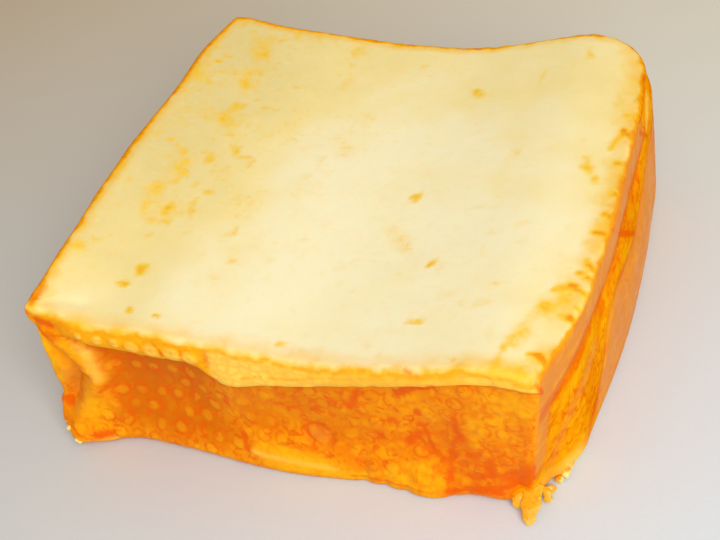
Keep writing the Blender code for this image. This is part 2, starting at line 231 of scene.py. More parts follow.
PLEAT_DEPTH, PLEAT_LEAN = 0.35, 0.12
PLEATS = [(62.8, 1.0), (67.3, 0.9), (71.6, 1.0), (80.6, 0.9)]
FOOT_CURLS = [(0.9, (2.6, 4.0), (1.2, 4.5)), (0.6, (3.0, 86.8), (1.3, 2.6))]


def lip_low(x):
    """Height of the lip's lower edge, a little ragged."""
    return curve(x, LIP_LOW) + 0.3 * cloud(x, 0.0, 0.0, 5.0, 11) + 0.1 * cloud(x, 0.0, 0.0, 1.6, 12)


def front_out(x, z):
    """Lip, minus pocket, plus foot, minus scar and valley, plus ridge, minus pleats, plus curls."""
    on_lip = smooth(z, lip_low(x) - 0.45, lip_low(x) + 0.35)
    lip_fade = smooth(x, *LIP_GROWS) * fading(x, *LIP_DIES)
    roll = LIP_OUT * lip_fade * (0.75 + 0.35 * bump(z, lip_low(x) + LIP_ROUND, LIP_ROUND))
    crease_x = curve(z, CREASE)
    depth = POCKET_DEPTH + (SHALLOW_DEPTH - POCKET_DEPTH) * smooth(x, crease_x - 10.0, crease_x + 3.0)
    depth = depth + 0.12 * bump(x, crease_x - 0.4, 0.8)
    depth = depth * smooth(x, *POCKET_GROWS) * (1.0 - 0.9 * smooth(x, *POCKET_DIES))
    pocket = depth * smooth(z, *POCKET_UPWARDS)
    foot = curve(x, FRONT_FOOT) * fading(z, 1.0, 13.0)
    away = np.hypot(x - SCAR_X, (z - SCAR_Z) * 1.25)
    scar = 0.55 * bump(away, SCAR_RADIUS, 0.6) + 0.3 * bump(away, 0.0, SCAR_RADIUS)
    valley = VALLEY_DEPTH * bump(x, curve(z, VALLEY), VALLEY_WIDTH)
    valley = valley * smooth(z, *VALLEY_STARTS) * fading(z, *VALLEY_ENDS)
    ridge = RIDGE_OUT * bump(x, curve(z, RIDGE), RIDGE_WIDTH) * fading(z, *RIDGE_ENDS)
    pleats = sum(PLEAT_DEPTH * bump(x, place + PLEAT_LEAN * (z - 5.0), width) for place, width in PLEATS)
    pleats = pleats * fading(z, 5.0, 12.0)
    curls = sum(blob(out, z, x, centre, size) for out, centre, size in FOOT_CURLS)
    return roll * on_lip - pocket * (1.0 - on_lip) + foot - scar - valley + ridge - pleats + curls


# %% [markdown]
# ## The other sides
#
# The right side hangs in long folds. One groove runs close under the cut face. Another climbs from
# the foot behind the torn front corner and then runs beside the first, with a roll between them.
# The left and the back are hidden but for their edges, so they are quieter: soft rolls and dents
# on the left, and a pulled-in waist with shallow upright folds at the back.

# %% Relief of the right, left and back
UPPER_FOLD = [
    (0, 25.0), (6, 25.0), (12, 26.4), (20, 27.6), (30, 28.0), (40, 28.4), (47, 29.4), (53, 29.0),
    (61, 28.0), (72, 30.5), (101, 33.5),
]
LOWER_FOLD = [
    (0, 2.0), (20, 3.5), (25, 8.5), (28, 14.0), (31, 19.0), (36, 20.6), (43, 19.8), (51, 18.4), (58, 18.0),
    (64, 19.8), (70, 22.0), (77, 25.6), (101, 31.0),
]
UPPER_DEPTH, UPPER_WIDTH, UPPER_DIES = 0.5, 1.5, (62.0, 76.0)
LOWER_DEPTH, LOWER_WIDTH, LOWER_GROWS, LOWER_DIES = 0.6, 1.9, (20.0, 30.0), (66.0, 80.0)
ROLL_OUT, ROLL_WIDTH, ROLL_GROWS, ROLL_DIES = 0.6, 3.0, (20.0, 32.0), (60.0, 78.0)
BELLY_OUT, BELLY_GROWS, BELLY_DIES = 2.2, (14.0, 55.0), (84.0, 100.0)
TORN_IN, TORN_IN_FOOT, TORN_REACH = 1.6, 3.6, (0.0, 17.0)
PEEL_OUT, PEEL_PLACE, PEEL_WIDTH = 1.1, 84.0, 14.0
TIP_OUT = 0.5
DENTS = [(0.7, (34.0, 11.0), (9.0, 5.0)), (0.6, (71.0, 24.0), (12.0, 5.0))]


def right_out(y, z):
    """Belly, minus two long grooves, plus the roll between them, minus the torn corner, plus the
    peeling rind near the back and the curd squeezed out along the foot."""
    belly = BELLY_OUT * bump(z, 9.0, 14.0) * smooth(y, *BELLY_GROWS) * fading(y, *BELLY_DIES)
    start = smooth(y, 1.0, 14.0) * fading(z, 30.0, 34.0)
    upper_z, lower_z = curve(y, UPPER_FOLD), curve(y, LOWER_FOLD)
    upper = UPPER_DEPTH * bump(z, upper_z, UPPER_WIDTH) * start * fading(y, *UPPER_DIES)
    lower = LOWER_DEPTH * bump(z, lower_z, LOWER_WIDTH) * smooth(y, *LOWER_GROWS) * fading(y, *LOWER_DIES)
    roll = ROLL_OUT * bump(z, (upper_z + lower_z) / 2.0, ROLL_WIDTH)
    roll = roll * smooth(y, *ROLL_GROWS) * fading(y, *ROLL_DIES)
    torn = (TORN_IN + TORN_IN_FOOT * (1.0 - z / HEIGHT)) * fading(y, *TORN_REACH)
    peel = PEEL_OUT * bump(y, PEEL_PLACE, PEEL_WIDTH) * smooth(z, 10.0, 26.0) * fading(z, 31.0, 34.0)
    squeezed = blob(0.7 + 0.5 * cloud(y, z, 0.0, 2.2, 21), z, y, (1.4, 8.0), (1.3, 7.0))
    return belly - upper - lower + roll - torn + peel + squeezed


def left_out(y, z):
    """A soft roll, minus two dents, plus folds, the curled tip and the knob of the front corner,
    minus its cut foot."""
    roll = 0.8 * bump(z, 19.0, 11.0) * smooth(y, 12.0, 40.0) * fading(y, 75.0, 98.0)
    dents = sum(blob(depth, y, z, centre, size) for depth, centre, size in DENTS)
    folds = 0.3 * np.sin(z / 2.4 + y / 21.0 + 1.5 * cloud(y, z, 0.0, 16.0, 22)) * bump(z, 16.0, 11.0)
    tip = TIP_OUT * fading(y, 0.0, 9.0) * smooth(z, 22.0, 33.0)
    knob = blob(1.1, y, z, (1.0, 7.0), (5.0, 4.5)) + blob(0.7, y, z, (1.0, 10.0), (1.6, 1.3))
    cut = 1.5 * fading(z, 1.0, 6.0) * fading(y, 0.0, 7.0)
    return roll - dents + folds + tip + knob - cut


def back_out(x, z):
    """Shallow upright folds, large and fine, a rough upper edge, minus a waist at half height."""
    waist = 1.3 * bump(z, 18.0, 10.0) * smooth(x, 6.0, 30.0) * fading(x, 70.0, 95.0)
    folds = 0.45 * np.sin(x / 6.5 + z / 19.0) * bump(z, 17.0, 11.0)
    fine = 0.25 * np.sin(x / 1.9 + 2.5 * cloud(x, z, 0.0, 12.0, 23)) * bump(z, 15.0, 9.0)
    rough = 0.22 * cloud(x, z, 0.0, 1.5, 24) * smooth(z, 27.0, 33.0)
    return folds + fine + rough - waist


print("lip over pocket at x = 25:", round(float(front_out(25.0, 30.0) - front_out(25.0, 22.0)), 2), "mm")

# %% [markdown]
# ## Wrapping the surface
#
# The cut face is a grid. From its edge, rings run over the rounded rim, down the wall and round
# the foot, and a coarser grid closes the bottom. The rings are finer than the grids, so a strip
# joins one coarse edge to two fine ones. On the front one of the rings follows the lip's lower
# edge, because a fold keeps its crisp line only where the mesh has an edge along it.

# %% Rings and levels
FINE = (264, 208)
RIM_RADIUS, FOOT_RADIUS = 1.3, 1.8
RIM_STEPS, LIP_STEPS, WALL_STEPS, FOOT_STEPS = 6, 22, 46, 5
SEAM_STRIP = 0.4
CORNER_CROWD = 0.15
FOOT_LIFT = [
    (0, 0.6), (8, 0.1), (14, 0.5), (32, 0.4), (40, 0.0), (78, 0.0), (85, 0.5), (92, 0.2), (100, 0.2),
]


def spaced(steps):
    """Places from -1 to 1, closer together towards both ends: even plus a share of its sine."""
    even = np.linspace(-1.0, 1.0, steps + 1)
    return even + CORNER_CROWD * np.sin(math.pi * even)


def square_edge(columns, rows):
    """The edge of the square, from the back left corner round the front, right and back."""
    run_x, run_y = spaced(columns)[:-1], spaced(rows)[:-1]
    across = np.concatenate([-np.ones(rows), run_x, np.ones(rows), -run_x])
    deep = np.concatenate([-run_y, -np.ones(columns), run_y, np.ones(columns)])
    return across, deep


def sides(across, deep):
    """How much a point belongs to the front, the right, the back and the left."""
    return tuple(smooth(value, CORNER_REACH, 1.0) for value in (-deep, across, deep, -across))


def shaped(across, deep, inset, height):
    """One part of the surface: plan place drawn in by the inset, height by a rule, then the relief
    of each side and a soft unevenness pushed outwards."""
    scale = 1.0 - inset / HALF
    x, y = plan(across * scale, deep * scale)
    z = height(x, y)
    front, right, back, left = sides(across, deep)
    lift = curve(x, FOOT_LIFT) * fading(z, 0.0, 9.0) * front
    lift = lift * fading(inset, 0.0, FOOT_RADIUS)
    uneven = (0.30 * cloud(x, y, z, 9.0, 5) + 0.12 * cloud(x, y, z, 3.2, 6) * front) * smooth(z, 0.5, 4.0)
    new_x = x + right * (right_out(y, z) + uneven) - left * (left_out(y, z) + uneven)
    new_y = y + back * (back_out(x, z) + uneven) - front * (front_out(x, z) + uneven)
    return np.stack([new_x, new_y, z + lift], axis=-1)


def wall_levels():
    """Insets and heights of all rings: the rim's quarter turn, down to the lip's edge, down to the
    foot, and the foot's quarter turn."""
    across, deep = square_edge(*FINE)
    turn = np.linspace(0.0, 1.0, RIM_STEPS + 1)[:, None] * math.pi / 2.0
    insets = [RIM_RADIUS * (1.0 - np.sin(turn)) + 0.0 * across]
    x, y = plan(across * (1.0 - insets[0] / HALF), deep * (1.0 - insets[0] / HALF))
    heights = [top_height(x, y) - RIM_RADIUS * (1.0 - np.cos(turn))]
    upper = heights[0][-1]
    front = sides(across, deep)[0]
    fold = front * lip_low(x[-1]) + (1.0 - front) * 0.72 * upper
    part = smooth(np.linspace(0.0, 1.0, LIP_STEPS + 1)[1:, None], -1.0, 1.0) * 2.0 - 1.0
    heights.append(upper + (fold - upper) * part)
    part = np.linspace(0.0, 1.0, WALL_STEPS + 1)[1:, None] ** 1.15
    heights.append(fold + (FOOT_RADIUS - fold) * part)
    insets.append(np.zeros((LIP_STEPS + WALL_STEPS, len(across))))
    turn = np.linspace(0.0, 1.0, FOOT_STEPS + 1)[1:, None] * math.pi / 2.0
    insets.append(FOOT_RADIUS * (1.0 - np.cos(turn)) + 0.0 * across)
    heights.append(FOOT_RADIUS * (1.0 - np.sin(turn)) + 0.0 * across)
    return across, deep, np.concatenate(insets), np.concatenate(heights)


ring_across, ring_deep, ring_inset, ring_height = wall_levels()
print("rings:", ring_inset.shape[0], "of", ring_inset.shape[1], "points")

# %% Points of every part, in one list
PARTS = []


def add_part(across, deep, inset, height):
    """Shapes one part, keeps its square place and inset beside it, and gives its point numbers."""
    across, deep, inset = np.broadcast_arrays(across, deep, inset)
    points = shaped(across, deep, inset, height)
    first = sum(part["points"].shape[0] for part in PARTS)
    PARTS.append({
        "points": points.reshape(-1, 3),
        "across": across.ravel(),
        "deep": deep.ravel(),
        "inset": inset.ravel(),
    })
    return first + np.arange(across.size).reshape(across.shape)


def grid_part(share, inset, height):
    """A grid with a share of the fine steps, drawn in by the inset."""
    across, deep = np.meshgrid(spaced(FINE[0] // share), spaced(FINE[1] // share))
    return add_part(across, deep, inset, height)


def level_ground(x, y):
    """The bottom is flat, so its height is 0 wherever the point lies."""
    return 0.0 * x


top_ids = grid_part(2, RIM_RADIUS + SEAM_STRIP, top_height)
wall_ids = add_part(ring_across, ring_deep, ring_inset, lambda x, y: ring_height)
half_edge = square_edge(FINE[0] // 2, FINE[1] // 2)
foot_ids = add_part(*half_edge, FOOT_RADIUS + SEAM_STRIP, level_ground)
base_ids = grid_part(4, FOOT_RADIUS + 3.0 * SEAM_STRIP, level_ground)
points = np.concatenate([part["points"] for part in PARTS])
print("points:", len(points))

# %% Faces between the points


def grid_faces(ids):
    """Four corners of each cell of a grid of point numbers, counterclockwise from above."""
    return np.stack([ids[:-1, :-1], ids[:-1, 1:], ids[1:, 1:], ids[1:, :-1]], axis=-1).reshape(-1, 4)


def ring_faces(ids):
    """Quads between each ring and the one below it, which close on themselves."""
    after = np.roll(ids, -1, axis=1)
    return np.stack([ids[:-1], ids[1:], after[1:], after[:-1]], axis=-1).reshape(-1, 4)


def grid_border(ids):
    """The border of a grid, in the order that square_edge gives."""
    return np.concatenate([ids[::-1, 0][:-1], ids[0, :-1], ids[:-1, -1], ids[-1, ::-1][:-1]])


def halving_faces(coarse, fine):
    """Three triangles for each coarse edge, which meets two fine ones."""
    after, middle, end = np.roll(coarse, -1), fine[1::2], np.roll(fine[::2], -1)
    start = fine[::2]
    fans = [(coarse, start, middle), (coarse, middle, after), (after, middle, end)]
    return np.concatenate([np.stack(fan, axis=-1) for fan in fans])


quads = np.concatenate([grid_faces(top_ids), ring_faces(wall_ids), grid_faces(base_ids)[:, ::-1]])
strips = np.concatenate([
    halving_faces(grid_border(top_ids), wall_ids[0]),
    halving_faces(foot_ids, wall_ids[-1])[:, ::-1],
    halving_faces(grid_border(base_ids), foot_ids)[:, ::-1],
])
print("triangles:", 2 * len(quads) + len(strips))

# %% [markdown]
# ## Unrolling the sides
#
# Colour and fine relief on the rind follow flat maps of the four sides, unrolled from the back
# left corner round the front. A place on the map is the way round and the way down from the top
# edge, in millimetres. The press mat left a honeycomb of round scales on the rind, and they are
# never quite in line, so clouds shift the places a little. The pitch goes round a whole number of
# times, which hides the seam.

# %% Map of the rind
ROUND = 2.0 * (WIDTH + DEPTH)
SCALE_PITCH = ROUND / 100.0
ROW_PITCH = 3.5
SIDE_STARTS, BACK_CORNER = (0.80, 0.90), (196.0, 203.0)
across, deep, inset = (np.concatenate([part[key] for part in PARTS]) for key in ("across", "deep", "inset"))
ring = np.maximum(np.maximum(abs(across), abs(deep)), 1e-9)
edge_across, edge_deep = across / ring, deep / ring
depth_in = inset + HALF * (1.0 - ring)
x, y, z = points.T
front, right, back, left = (value * smooth(ring, *SIDE_STARTS) for value in sides(edge_across, edge_deep))

on_front = edge_deep <= -1.0 + 1e-6
on_right = (edge_across >= 1.0 - 1e-6) & ~on_front
on_back = (edge_deep >= 1.0 - 1e-6) & ~on_right
corner = on_front & (edge_across >= 1.0 - 1e-6) & (depth_in < 1e-6)
corner_x, corner_y, corner_z = points[corner][np.argsort(points[corner, 2])].T
corner_at = np.interp(z, corner_z, corner_x)
pulled_in = np.interp(z, corner_z, WIDTH + corner_y - corner_x) * fading(y, *TORN_REACH)
unrolled = np.select(
    [on_front, on_right, on_back],
    [x, WIDTH + y - pulled_in, WIDTH + DEPTH + (WIDTH - x)],
    default=-y,
)
right_face = smooth(unrolled, corner_at - 0.4, corner_at + 0.6) * fading(unrolled, *BACK_CORNER)
front, right = front * (1.0 - right_face), right * right_face
arc = np.arcsin(np.clip(1.0 - depth_in / RIM_RADIUS, 0.0, 1.0)) * RIM_RADIUS
below_rim = np.maximum(top_height(*plan(edge_across, edge_deep)) - z - RIM_RADIUS, 0.0)
is_top = z > HEIGHT / 2.0
over_edge = np.where(is_top, np.minimum(RIM_RADIUS - depth_in, 0.0) + arc, 0.0)
over_edge = np.where(depth_in < 1e-6, arc + below_rim, over_edge)
over_edge = np.where(is_top | (depth_in < 1e-6), over_edge, HEIGHT)
under = smooth(depth_in, FOOT_RADIUS, FOOT_RADIUS + 1.6) * fading(z, 0.5, 1.5)
map_along = unrolled + 0.9 * cloud(x, y, z, 11.0, 34) + 0.35 * cloud(x, y, z, 3.6, 35)
map_down = over_edge + 0.8 * cloud(x, y, z, 10.0, 36) + 0.35 * cloud(x, y, z, 3.4, 37)
print("unrolled from", round(float(unrolled.min())), "to", round(float(unrolled.max())), "mm")


# %% Honeycomb of scales
def honeycomb(round_way, down):
    """Distance from the nearest scale's centre, and that scale's random number from 0 to 1. The
    centres are two lattices of rectangles, one shifted by half a cell each way."""
    chances = np.random.default_rng(38).uniform(size=(2, 100, 16))
    found = []
    for number, shift in enumerate((0.0, 0.5)):
        column, row = round_way / SCALE_PITCH + shift, down / (2.0 * ROW_PITCH) + shift
        away = np.hypot((column % 1.0 - 0.5) * SCALE_PITCH, (row % 1.0 - 0.5) * 2.0 * ROW_PITCH)
        chance = chances[number, np.floor(column).astype(int) % 100, np.floor(row).astype(int) % 16]
        found.append((away, chance))
    nearer = found[0][0] < found[1][0]
    return np.where(nearer, found[0][0], found[1][0]), np.where(nearer, found[0][1], found[1][1])


scale_away, scale_chance = honeycomb(map_along, map_down)
print("scales per side:", round(WIDTH / SCALE_PITCH), "columns, rows every", ROW_PITCH, "mm")

# %% [markdown]
# ## Where each colour lies
#
# Each mask is one number for every point, and the material reads it. On the rind the pocket,
# the valley, the hollow and the middle under the lip are painted deep orange as shade, the lip
# and the foot are pale where the stain never reached, with one painted highlight along the foot,
# and red pools mark the creases. On the right side, pinkish bands are a painted reflection of
# the pale board. The cut face has yellow stains, and it is painted dimmer towards the back and
# the left as the light falls off. Spots and streaks are short soft strokes whose ends and widths
# were read off the block.

# %% Where the rind starts
RIND_START = [
    (-101, -0.5), (-60, -0.5), (-8, -0.3), (-5, -0.9), (-2.4, -0.9), (-1, 0.8), (2, 0.9), (8, 0.8),
    (24, 0.9), (34, 1.2), (38, 0.6), (60, 0.6), (80, 0.8), (88, 1.0), (97, 1.4), (99.4, 0.6), (103, 0.2),
    (109, 0.4), (114, 1.0), (125, 0.5), (140, 0.3), (158, 0.5), (172, 0.6), (181, 0.2), (188, 0.2),
    (201, 0.2), (215, -0.1), (250, -0.6), (275, -0.5), (301, -0.5),
]
GLOW = [
    (-101, 0.95), (-50, 0.9), (-8, 0.9), (0, 0.6), (12, 0.8), (34, 0.7), (60, 0.55), (80, 0.7), (92, 0.8),
    (100, 0.7), (108, 0.9), (125, 0.95), (150, 0.95), (181, 0.8), (201, 0.7), (230, 0.8), (280, 0.9),
    (301, 0.95),
]
start = along(unrolled, RIND_START) + 0.55 * cloud(x, y, 0.0, 3.1, 31) + 0.3 * cloud(x, y, 0.0, 1.2, 32)
quiet = smooth(unrolled, 192.0, 204.0) + 1.0 - smooth(unrolled, -12.0, -3.0)
edge = (over_edge - start) * (1.0 + 0.9 * quiet)
edge = np.clip(np.where(edge > 0.0, edge * (1.0 + 2.0 * right_face), edge), -8.0, 8.0)
edge = np.where(under > 0.0, np.minimum(edge, 4.0 - 10.0 * under), edge)
white_spot = bump(x, 98.6, 3.6) * bump(y, 10.4, 3.2)
glow = along(unrolled, GLOW) * (0.8 + 0.5 * cloud(x, y, 0.0, 4.0, 33))
glow = glow * (1.0 - under) * (1.0 - 0.9 * white_spot)
print("rind starts", round(float(start.min()), 1), "to", round(float(start.max()), 1), "mm past the edge")

# %% Pale fields of the rind, one of them a painted highlight
BEADS = [
    (9.6, 31.3, 0.9), (13.6, 30.8, 1.2), (17.3, 30.6, 1.2), (20.9, 30.1, 1.4), (24.9, 29.8, 1.7),
    (29.4, 29.9, 2.0), (33.0, 29.7, 1.5),
]
# The first stroke, along the foot, is a painted highlight; the others are pale rind.
PALE_AND_HIGHLIGHT_STROKES = [
    (40, 4.6, 57, 3.4, 0.6, 0.55), (7.4, 27.4, 8.9, 25, 0.8, 0.6), (8.9, 25, 9.5, 18, 0.9, 0.6),
    (3.4, 1.7, 9, 1.6, 0.6, 0.6),
]
NO_LIP = -9.0
lip_up = np.where(front > 0.5, z - lip_low(x), NO_LIP)
on_lip = smooth(lip_up, -0.3, 0.5) * front
below_lip = fading(lip_up, -0.4, 0.2)
lip_pale = on_lip * smooth(x, 35.8, 37.4) * (1.0 - 0.5 * smooth(x, 46.0, 66.0)) * fading(x, 80.0, 90.0)
corner_pale = 0.8 * front * smooth(lip_up, -0.2, 0.8) * smooth(x, 82.0, 88.0)
bead_shift = 0.4 * cloud(x, y, z, 1.6, 40)
bead_away = [np.hypot(x - place + bead_shift, z - height) / radius for place, height, radius in BEADS]
beads = sum(fading(away, 0.5, 1.15) for away in bead_away) * front
bead_rings = sum(bump(away, 1.2, 0.2) for away in bead_away) * front
peel_pale = 0.9 * stroke(y, z, (83.7, 33.7), (75.7, 31.1), 0.7) * right
curd_foot = right * bump(y, 9.0, 9.0) * fading(z, 2.0, 4.6) * (0.8 + 0.6 * cloud(y, z, 0.0, 2.2, 39))
pale = lip_pale + corner_pale + 0.8 * beads + strokes(x, z, PALE_AND_HIGHLIGHT_STROKES) * front + peel_pale + curd_foot
pale = np.clip(pale, 0.0, 1.0)
print("pale points:", int((pale > 0.5).sum()))

# %% Golden fields
FOOT_BAND = [(34, 6.0), (42, 9.0), (50, 8.0), (58, 5.6), (64, 5.0), (70, 7.5), (77, 11.0), (80, 11.0)]
GOLD_BLOBS = [
    (0.7, (6.0, 9.5), (3.2, 5.0)), (0.8, (-0.6, 21.0), (1.2, 6.0)), (0.7, (85.0, 19.0), (1.8, 5.0)),
    (0.7, (93.0, 28.5), (5.0, 4.0)), (0.25, (89.5, 23.0), (3.5, 6.0)),
]
band_top = curve(x, FOOT_BAND) + 1.2 * cloud(x, z, 0.0, 4.0, 41)
foot_gold = smooth(x, 33.0, 50.0) * fading(x, 76.5, 79.5) * fading(z, band_top - 3.0, band_top) * front
foot_gold = foot_gold * (0.45 + 0.55 * smooth(z, 0.8, 2.6))
lip_gold = 0.9 * on_lip * fading(x, 35.0, 37.0) * smooth(x, 5.0, 12.0) + 0.7 * on_lip * smooth(x, 37.0, 40.0)
ridge_gold = 0.5 * bump(x, curve(z, RIDGE) + 1.0, 1.6) * smooth(z, 12.0, 18.0) * fading(z, 27.0, 31.0) * front
spot_gold = sum(blob(strength, x, z, centre, size) for strength, centre, size in GOLD_BLOBS) * front
left_gold = 0.8 * left * bump(y, 1.0, 4.0) * smooth(z, 12.0, 18.0)
gold = np.clip(foot_gold + lip_gold + ridge_gold + spot_gold + left_gold, 0.0, 1.0)
print("golden points:", int((gold > 0.5).sum()))

# %% Pleats, and deep fields of painted shade
pleat = front * smooth(x, 57.0, 63.0) * fading(x, 76.5, 79.0) * fading(z, 6.0, 11.0)
pocket_x = x + 1.4 * cloud(x, y, z, 3.6, 42)
in_pocket = smooth(pocket_x, 7.6, 11.8) * fading(x, curve(z, CREASE) - 9.0, curve(z, CREASE) + 3.0)
in_middle = 0.4 * smooth(x, 36.0, 40.0) * fading(x, 62.0, 74.0) * smooth(z, 8.0, 12.0)
in_valley = 0.45 * bump(x, curve(z, VALLEY), 1.6) * smooth(z, 8.0, 13.0) * fading(z, 28.0, 32.0)
# The hollow at the front left corner is painted: a pinkish sheen, and shade in the deep mask.
hollow = blob(1.0, x, z, (2.6, 15.2), (1.6, 4.8)) * front
# Painted shade: deeper orange in the pocket and the middle under the lip, in the valley and in the hollow,
# where shade falls.
shade_depths = (in_pocket * smooth(z, 1.5, 8.0), in_middle, in_valley, 0.6 * hollow)
painted_shade_mask = front * below_lip * np.max(shade_depths, axis=0)
print("deep points:", int((painted_shade_mask > 0.5).sum()))

# %% Bands of the right side, with their painted sheen
LANE_WIDTH = 8.0
TAN_LINE = [(23.0, 21.0), (12.8, 17.6), (8.2, 11.4), (5.4, 4.0)]
YELLOW_LINE = [(22.0, 24.4), (14.8, 23.6), (11.4, 21.4), (8.2, 19.0), (6.2, 15.6), (5.0, 8.0)]


def path(across, up, places, width):
    """Soft lines that join several places: the strongest of them at each point."""
    return np.max([stroke(across, up, a, b, width) for a, b in zip(places[:-1], places[1:])], axis=0)


upper_z, lower_z = curve(y, UPPER_FOLD), curve(y, LOWER_FOLD)
fold = (z - lower_z) / (upper_z - lower_z)
lane = (z - lower_z) / LANE_WIDTH
band_upper = smooth(z, upper_z - 0.9, upper_z + 0.9) * fading(y, 69.0, 75.0)
band_lower = fading(z, lower_z - 1.2, lower_z + 0.8) * smooth(y, 21.0, 27.0)
band_lower = band_lower * (1.0 - 0.6 * smooth(y, 76.0, 84.0))
beside_corner = fading(y, 3.4, 5.4) * smooth(z, 5.0, 10.0)
tan_line, yellow_line = path(y, z, TAN_LINE, 1.1), path(y, z, YELLOW_LINE, 1.3)
# The pinkish bands are a painted reflection of the pale board on the glancing right side; the gloss below
# adds a little real shine in the same bands.
sheen_bands = np.clip(band_upper + band_lower + 0.5 * tan_line + beside_corner, 0.0, 1.0)
sheen_bands = sheen_bands * (1.0 - 0.8 * yellow_line)
pinkish_sheen = np.clip(right * sheen_bands + hollow, 0.0, 1.0)
gloss = np.clip(0.2 * (front + hollow) * (1.0 - right) + 0.12 * right * sheen_bands, 0.0, 1.0)
side_gold = 0.5 * yellow_line + 0.5 * stroke(y, z, (43.0, 25.6), (51.0, 20.4), 2.2)
side_gold = side_gold + 0.5 * bump(y, 82.0, 8.0) * smooth(z, 26.0, 32.0)
side_gold = side_gold + 0.9 * bump(y, 10.0, 11.0) * fading(z, 3.5, 7.5)
gold = np.clip(gold + right * side_gold, 0.0, 1.0)
print("pinkish points:", int((pinkish_sheen > 0.5).sum()))

# %% Red pools
RED_STROKES = [
    (49.4, 23.8, 52.6, 23.4, 0.9, 1), (63.8, 24, 61.8, 19.4, 0.9, 1), (74.7, 21.2, 74.9, 20.6, 0.7, 1),
    (71.6, 25.2, 79.4, 31.2, 0.9, 1), (76.5, 28, 79, 29.4, 0.8, 0.8), (94.8, 11.4, 93.4, 8, 1.5, 1),
    (93.2, 5.8, 92, 6.6, 1.2, 0.9), (87.6, 11.4, 88, 9.4, 1, 0.9), (38.6, 7.6, 38.9, 5, 1, 1),
    (37.3, 24.8, 36.2, 19.6, 0.6, 0.7), (35.6, 16.2, 35, 14.8, 1, 0.8), (35.2, 14.6, 38.8, 7.6, 0.5, 0.6),
    (5.4, 3.4, 8.2, 3.2, 0.8, 1.1), (82, 21, 82.6, 16, 0.8, 0.7), (81.6, 16, 80.2, 9, 0.5, 0.5),
    (72.2, 12.6, 74.6, 15, 0.8, 0.9), (66.4, 13.8, 66.8, 13, 0.8, 0.8), (61, 17, 63.2, 16.6, 0.5, 0.8),
    (8.4, 14.2, 10, 14.8, 0.6, 1), (1.2, 33.6, 4, 32.6, 0.9, 0.8), (1, 31, 3.4, 26, 0.9, 0.7),
    (22, 13.2, 23.6, 10.4, 0.6, 0.6), (26, 31.2, 26.6, 29.6, 0.5, 0.4), (12, 21, 12.4, 16.6, 0.6, 0.5),
    (80.2, 8, 79.2, 2.6, 0.5, 0.6), (80, 2.4, 88, 4.4, 0.6, 0.8), (88, 4.4, 95, 7.4, 0.7, 0.7),
    (60, 1.9, 80, 2.2, 0.4, 0.8), (74.8, 34, 77, 33.4, 0.7, 0.7), (84, 12.4, 86, 13.4, 0.6, 0.6),
    (143.5, 30.2, 156, 19.6, 0.8, 1.1), (138.6, 35.4, 143.5, 30.2, 0.6, 0.6),
    (-4.4, 35.4, -1, 35.6, 1.4, 1.1), (-1.2, 10.4, 0.4, 9.6, 1.1, 1), (173, 34.4, 188, 35.4, 0.6, 0.7),
    (83, 3.6, 87, 4.3, 0.35, 0.8), (87, 4.3, 91, 3, 0.35, 0.8), (83.4, 2, 89.6, 1.8, 0.35, 0.8),
    (171, 33, 176, 28.6, 0.7, 0.8), (97.4, 35.8, 98.6, 31.4, 0.6, 0.9), (94.4, 7.4, 102.4, 8.2, 1.1, 0.8),
    (122, 5, 127, 12, 1.2, 0.5), (127, 12, 131, 20, 0.9, 0.5), (91, 9, 96, 11, 0.6, 0.9),
    (84, 6.4, 88, 8.4, 0.6, 0.8), (76, 16, 77, 12, 0.5, 0.7), (1.6, 32.6, 7, 27.4, 2.2, 0.4),
    (2.4, 30, 1.6, 24, 1.6, 0.25),
]
band_wear = 0.35 * smooth(cloud(y, z, 0.0, 3.0, 43), 0.0, 0.7) * smooth(y, 16.0, 24.0) * fading(z, 26.0, 30.0)
front_tint = 0.30 * smooth(x, 58.0, 74.0) * smooth(z, 2.0, 9.0) * fading(lip_up, -0.5, 0.5)
front_tint = front_tint + 0.05 * below_lip * smooth(x, 9.0, 12.0) + blob(0.36, x, z, (86.0, 9.0), (12.0, 8.0))
scar_away = np.hypot(x - SCAR_X, (z - SCAR_Z) * 1.2 + 0.3 * (x - SCAR_X))
scar = bump(scar_away, 0.0, SCAR_RADIUS * 0.75) * front
scar_shade = 1.3 - 0.7 * smooth((x - SCAR_X) - (z - SCAR_Z), -1.0, 3.0)
scar_ring = bump(scar_away, SCAR_RADIUS, 0.6) * scar_shade * front
red = strokes(unrolled, z, RED_STROKES) + 0.45 * bead_rings + front_tint * front
red = red + 0.12 * (back + left) * smooth(z, 1.0, 5.0) + right * band_wear
red = np.clip(red + scar_ring, 0.0, 1.3)
print("red pools on", int((red > 0.6).sum()), "points")

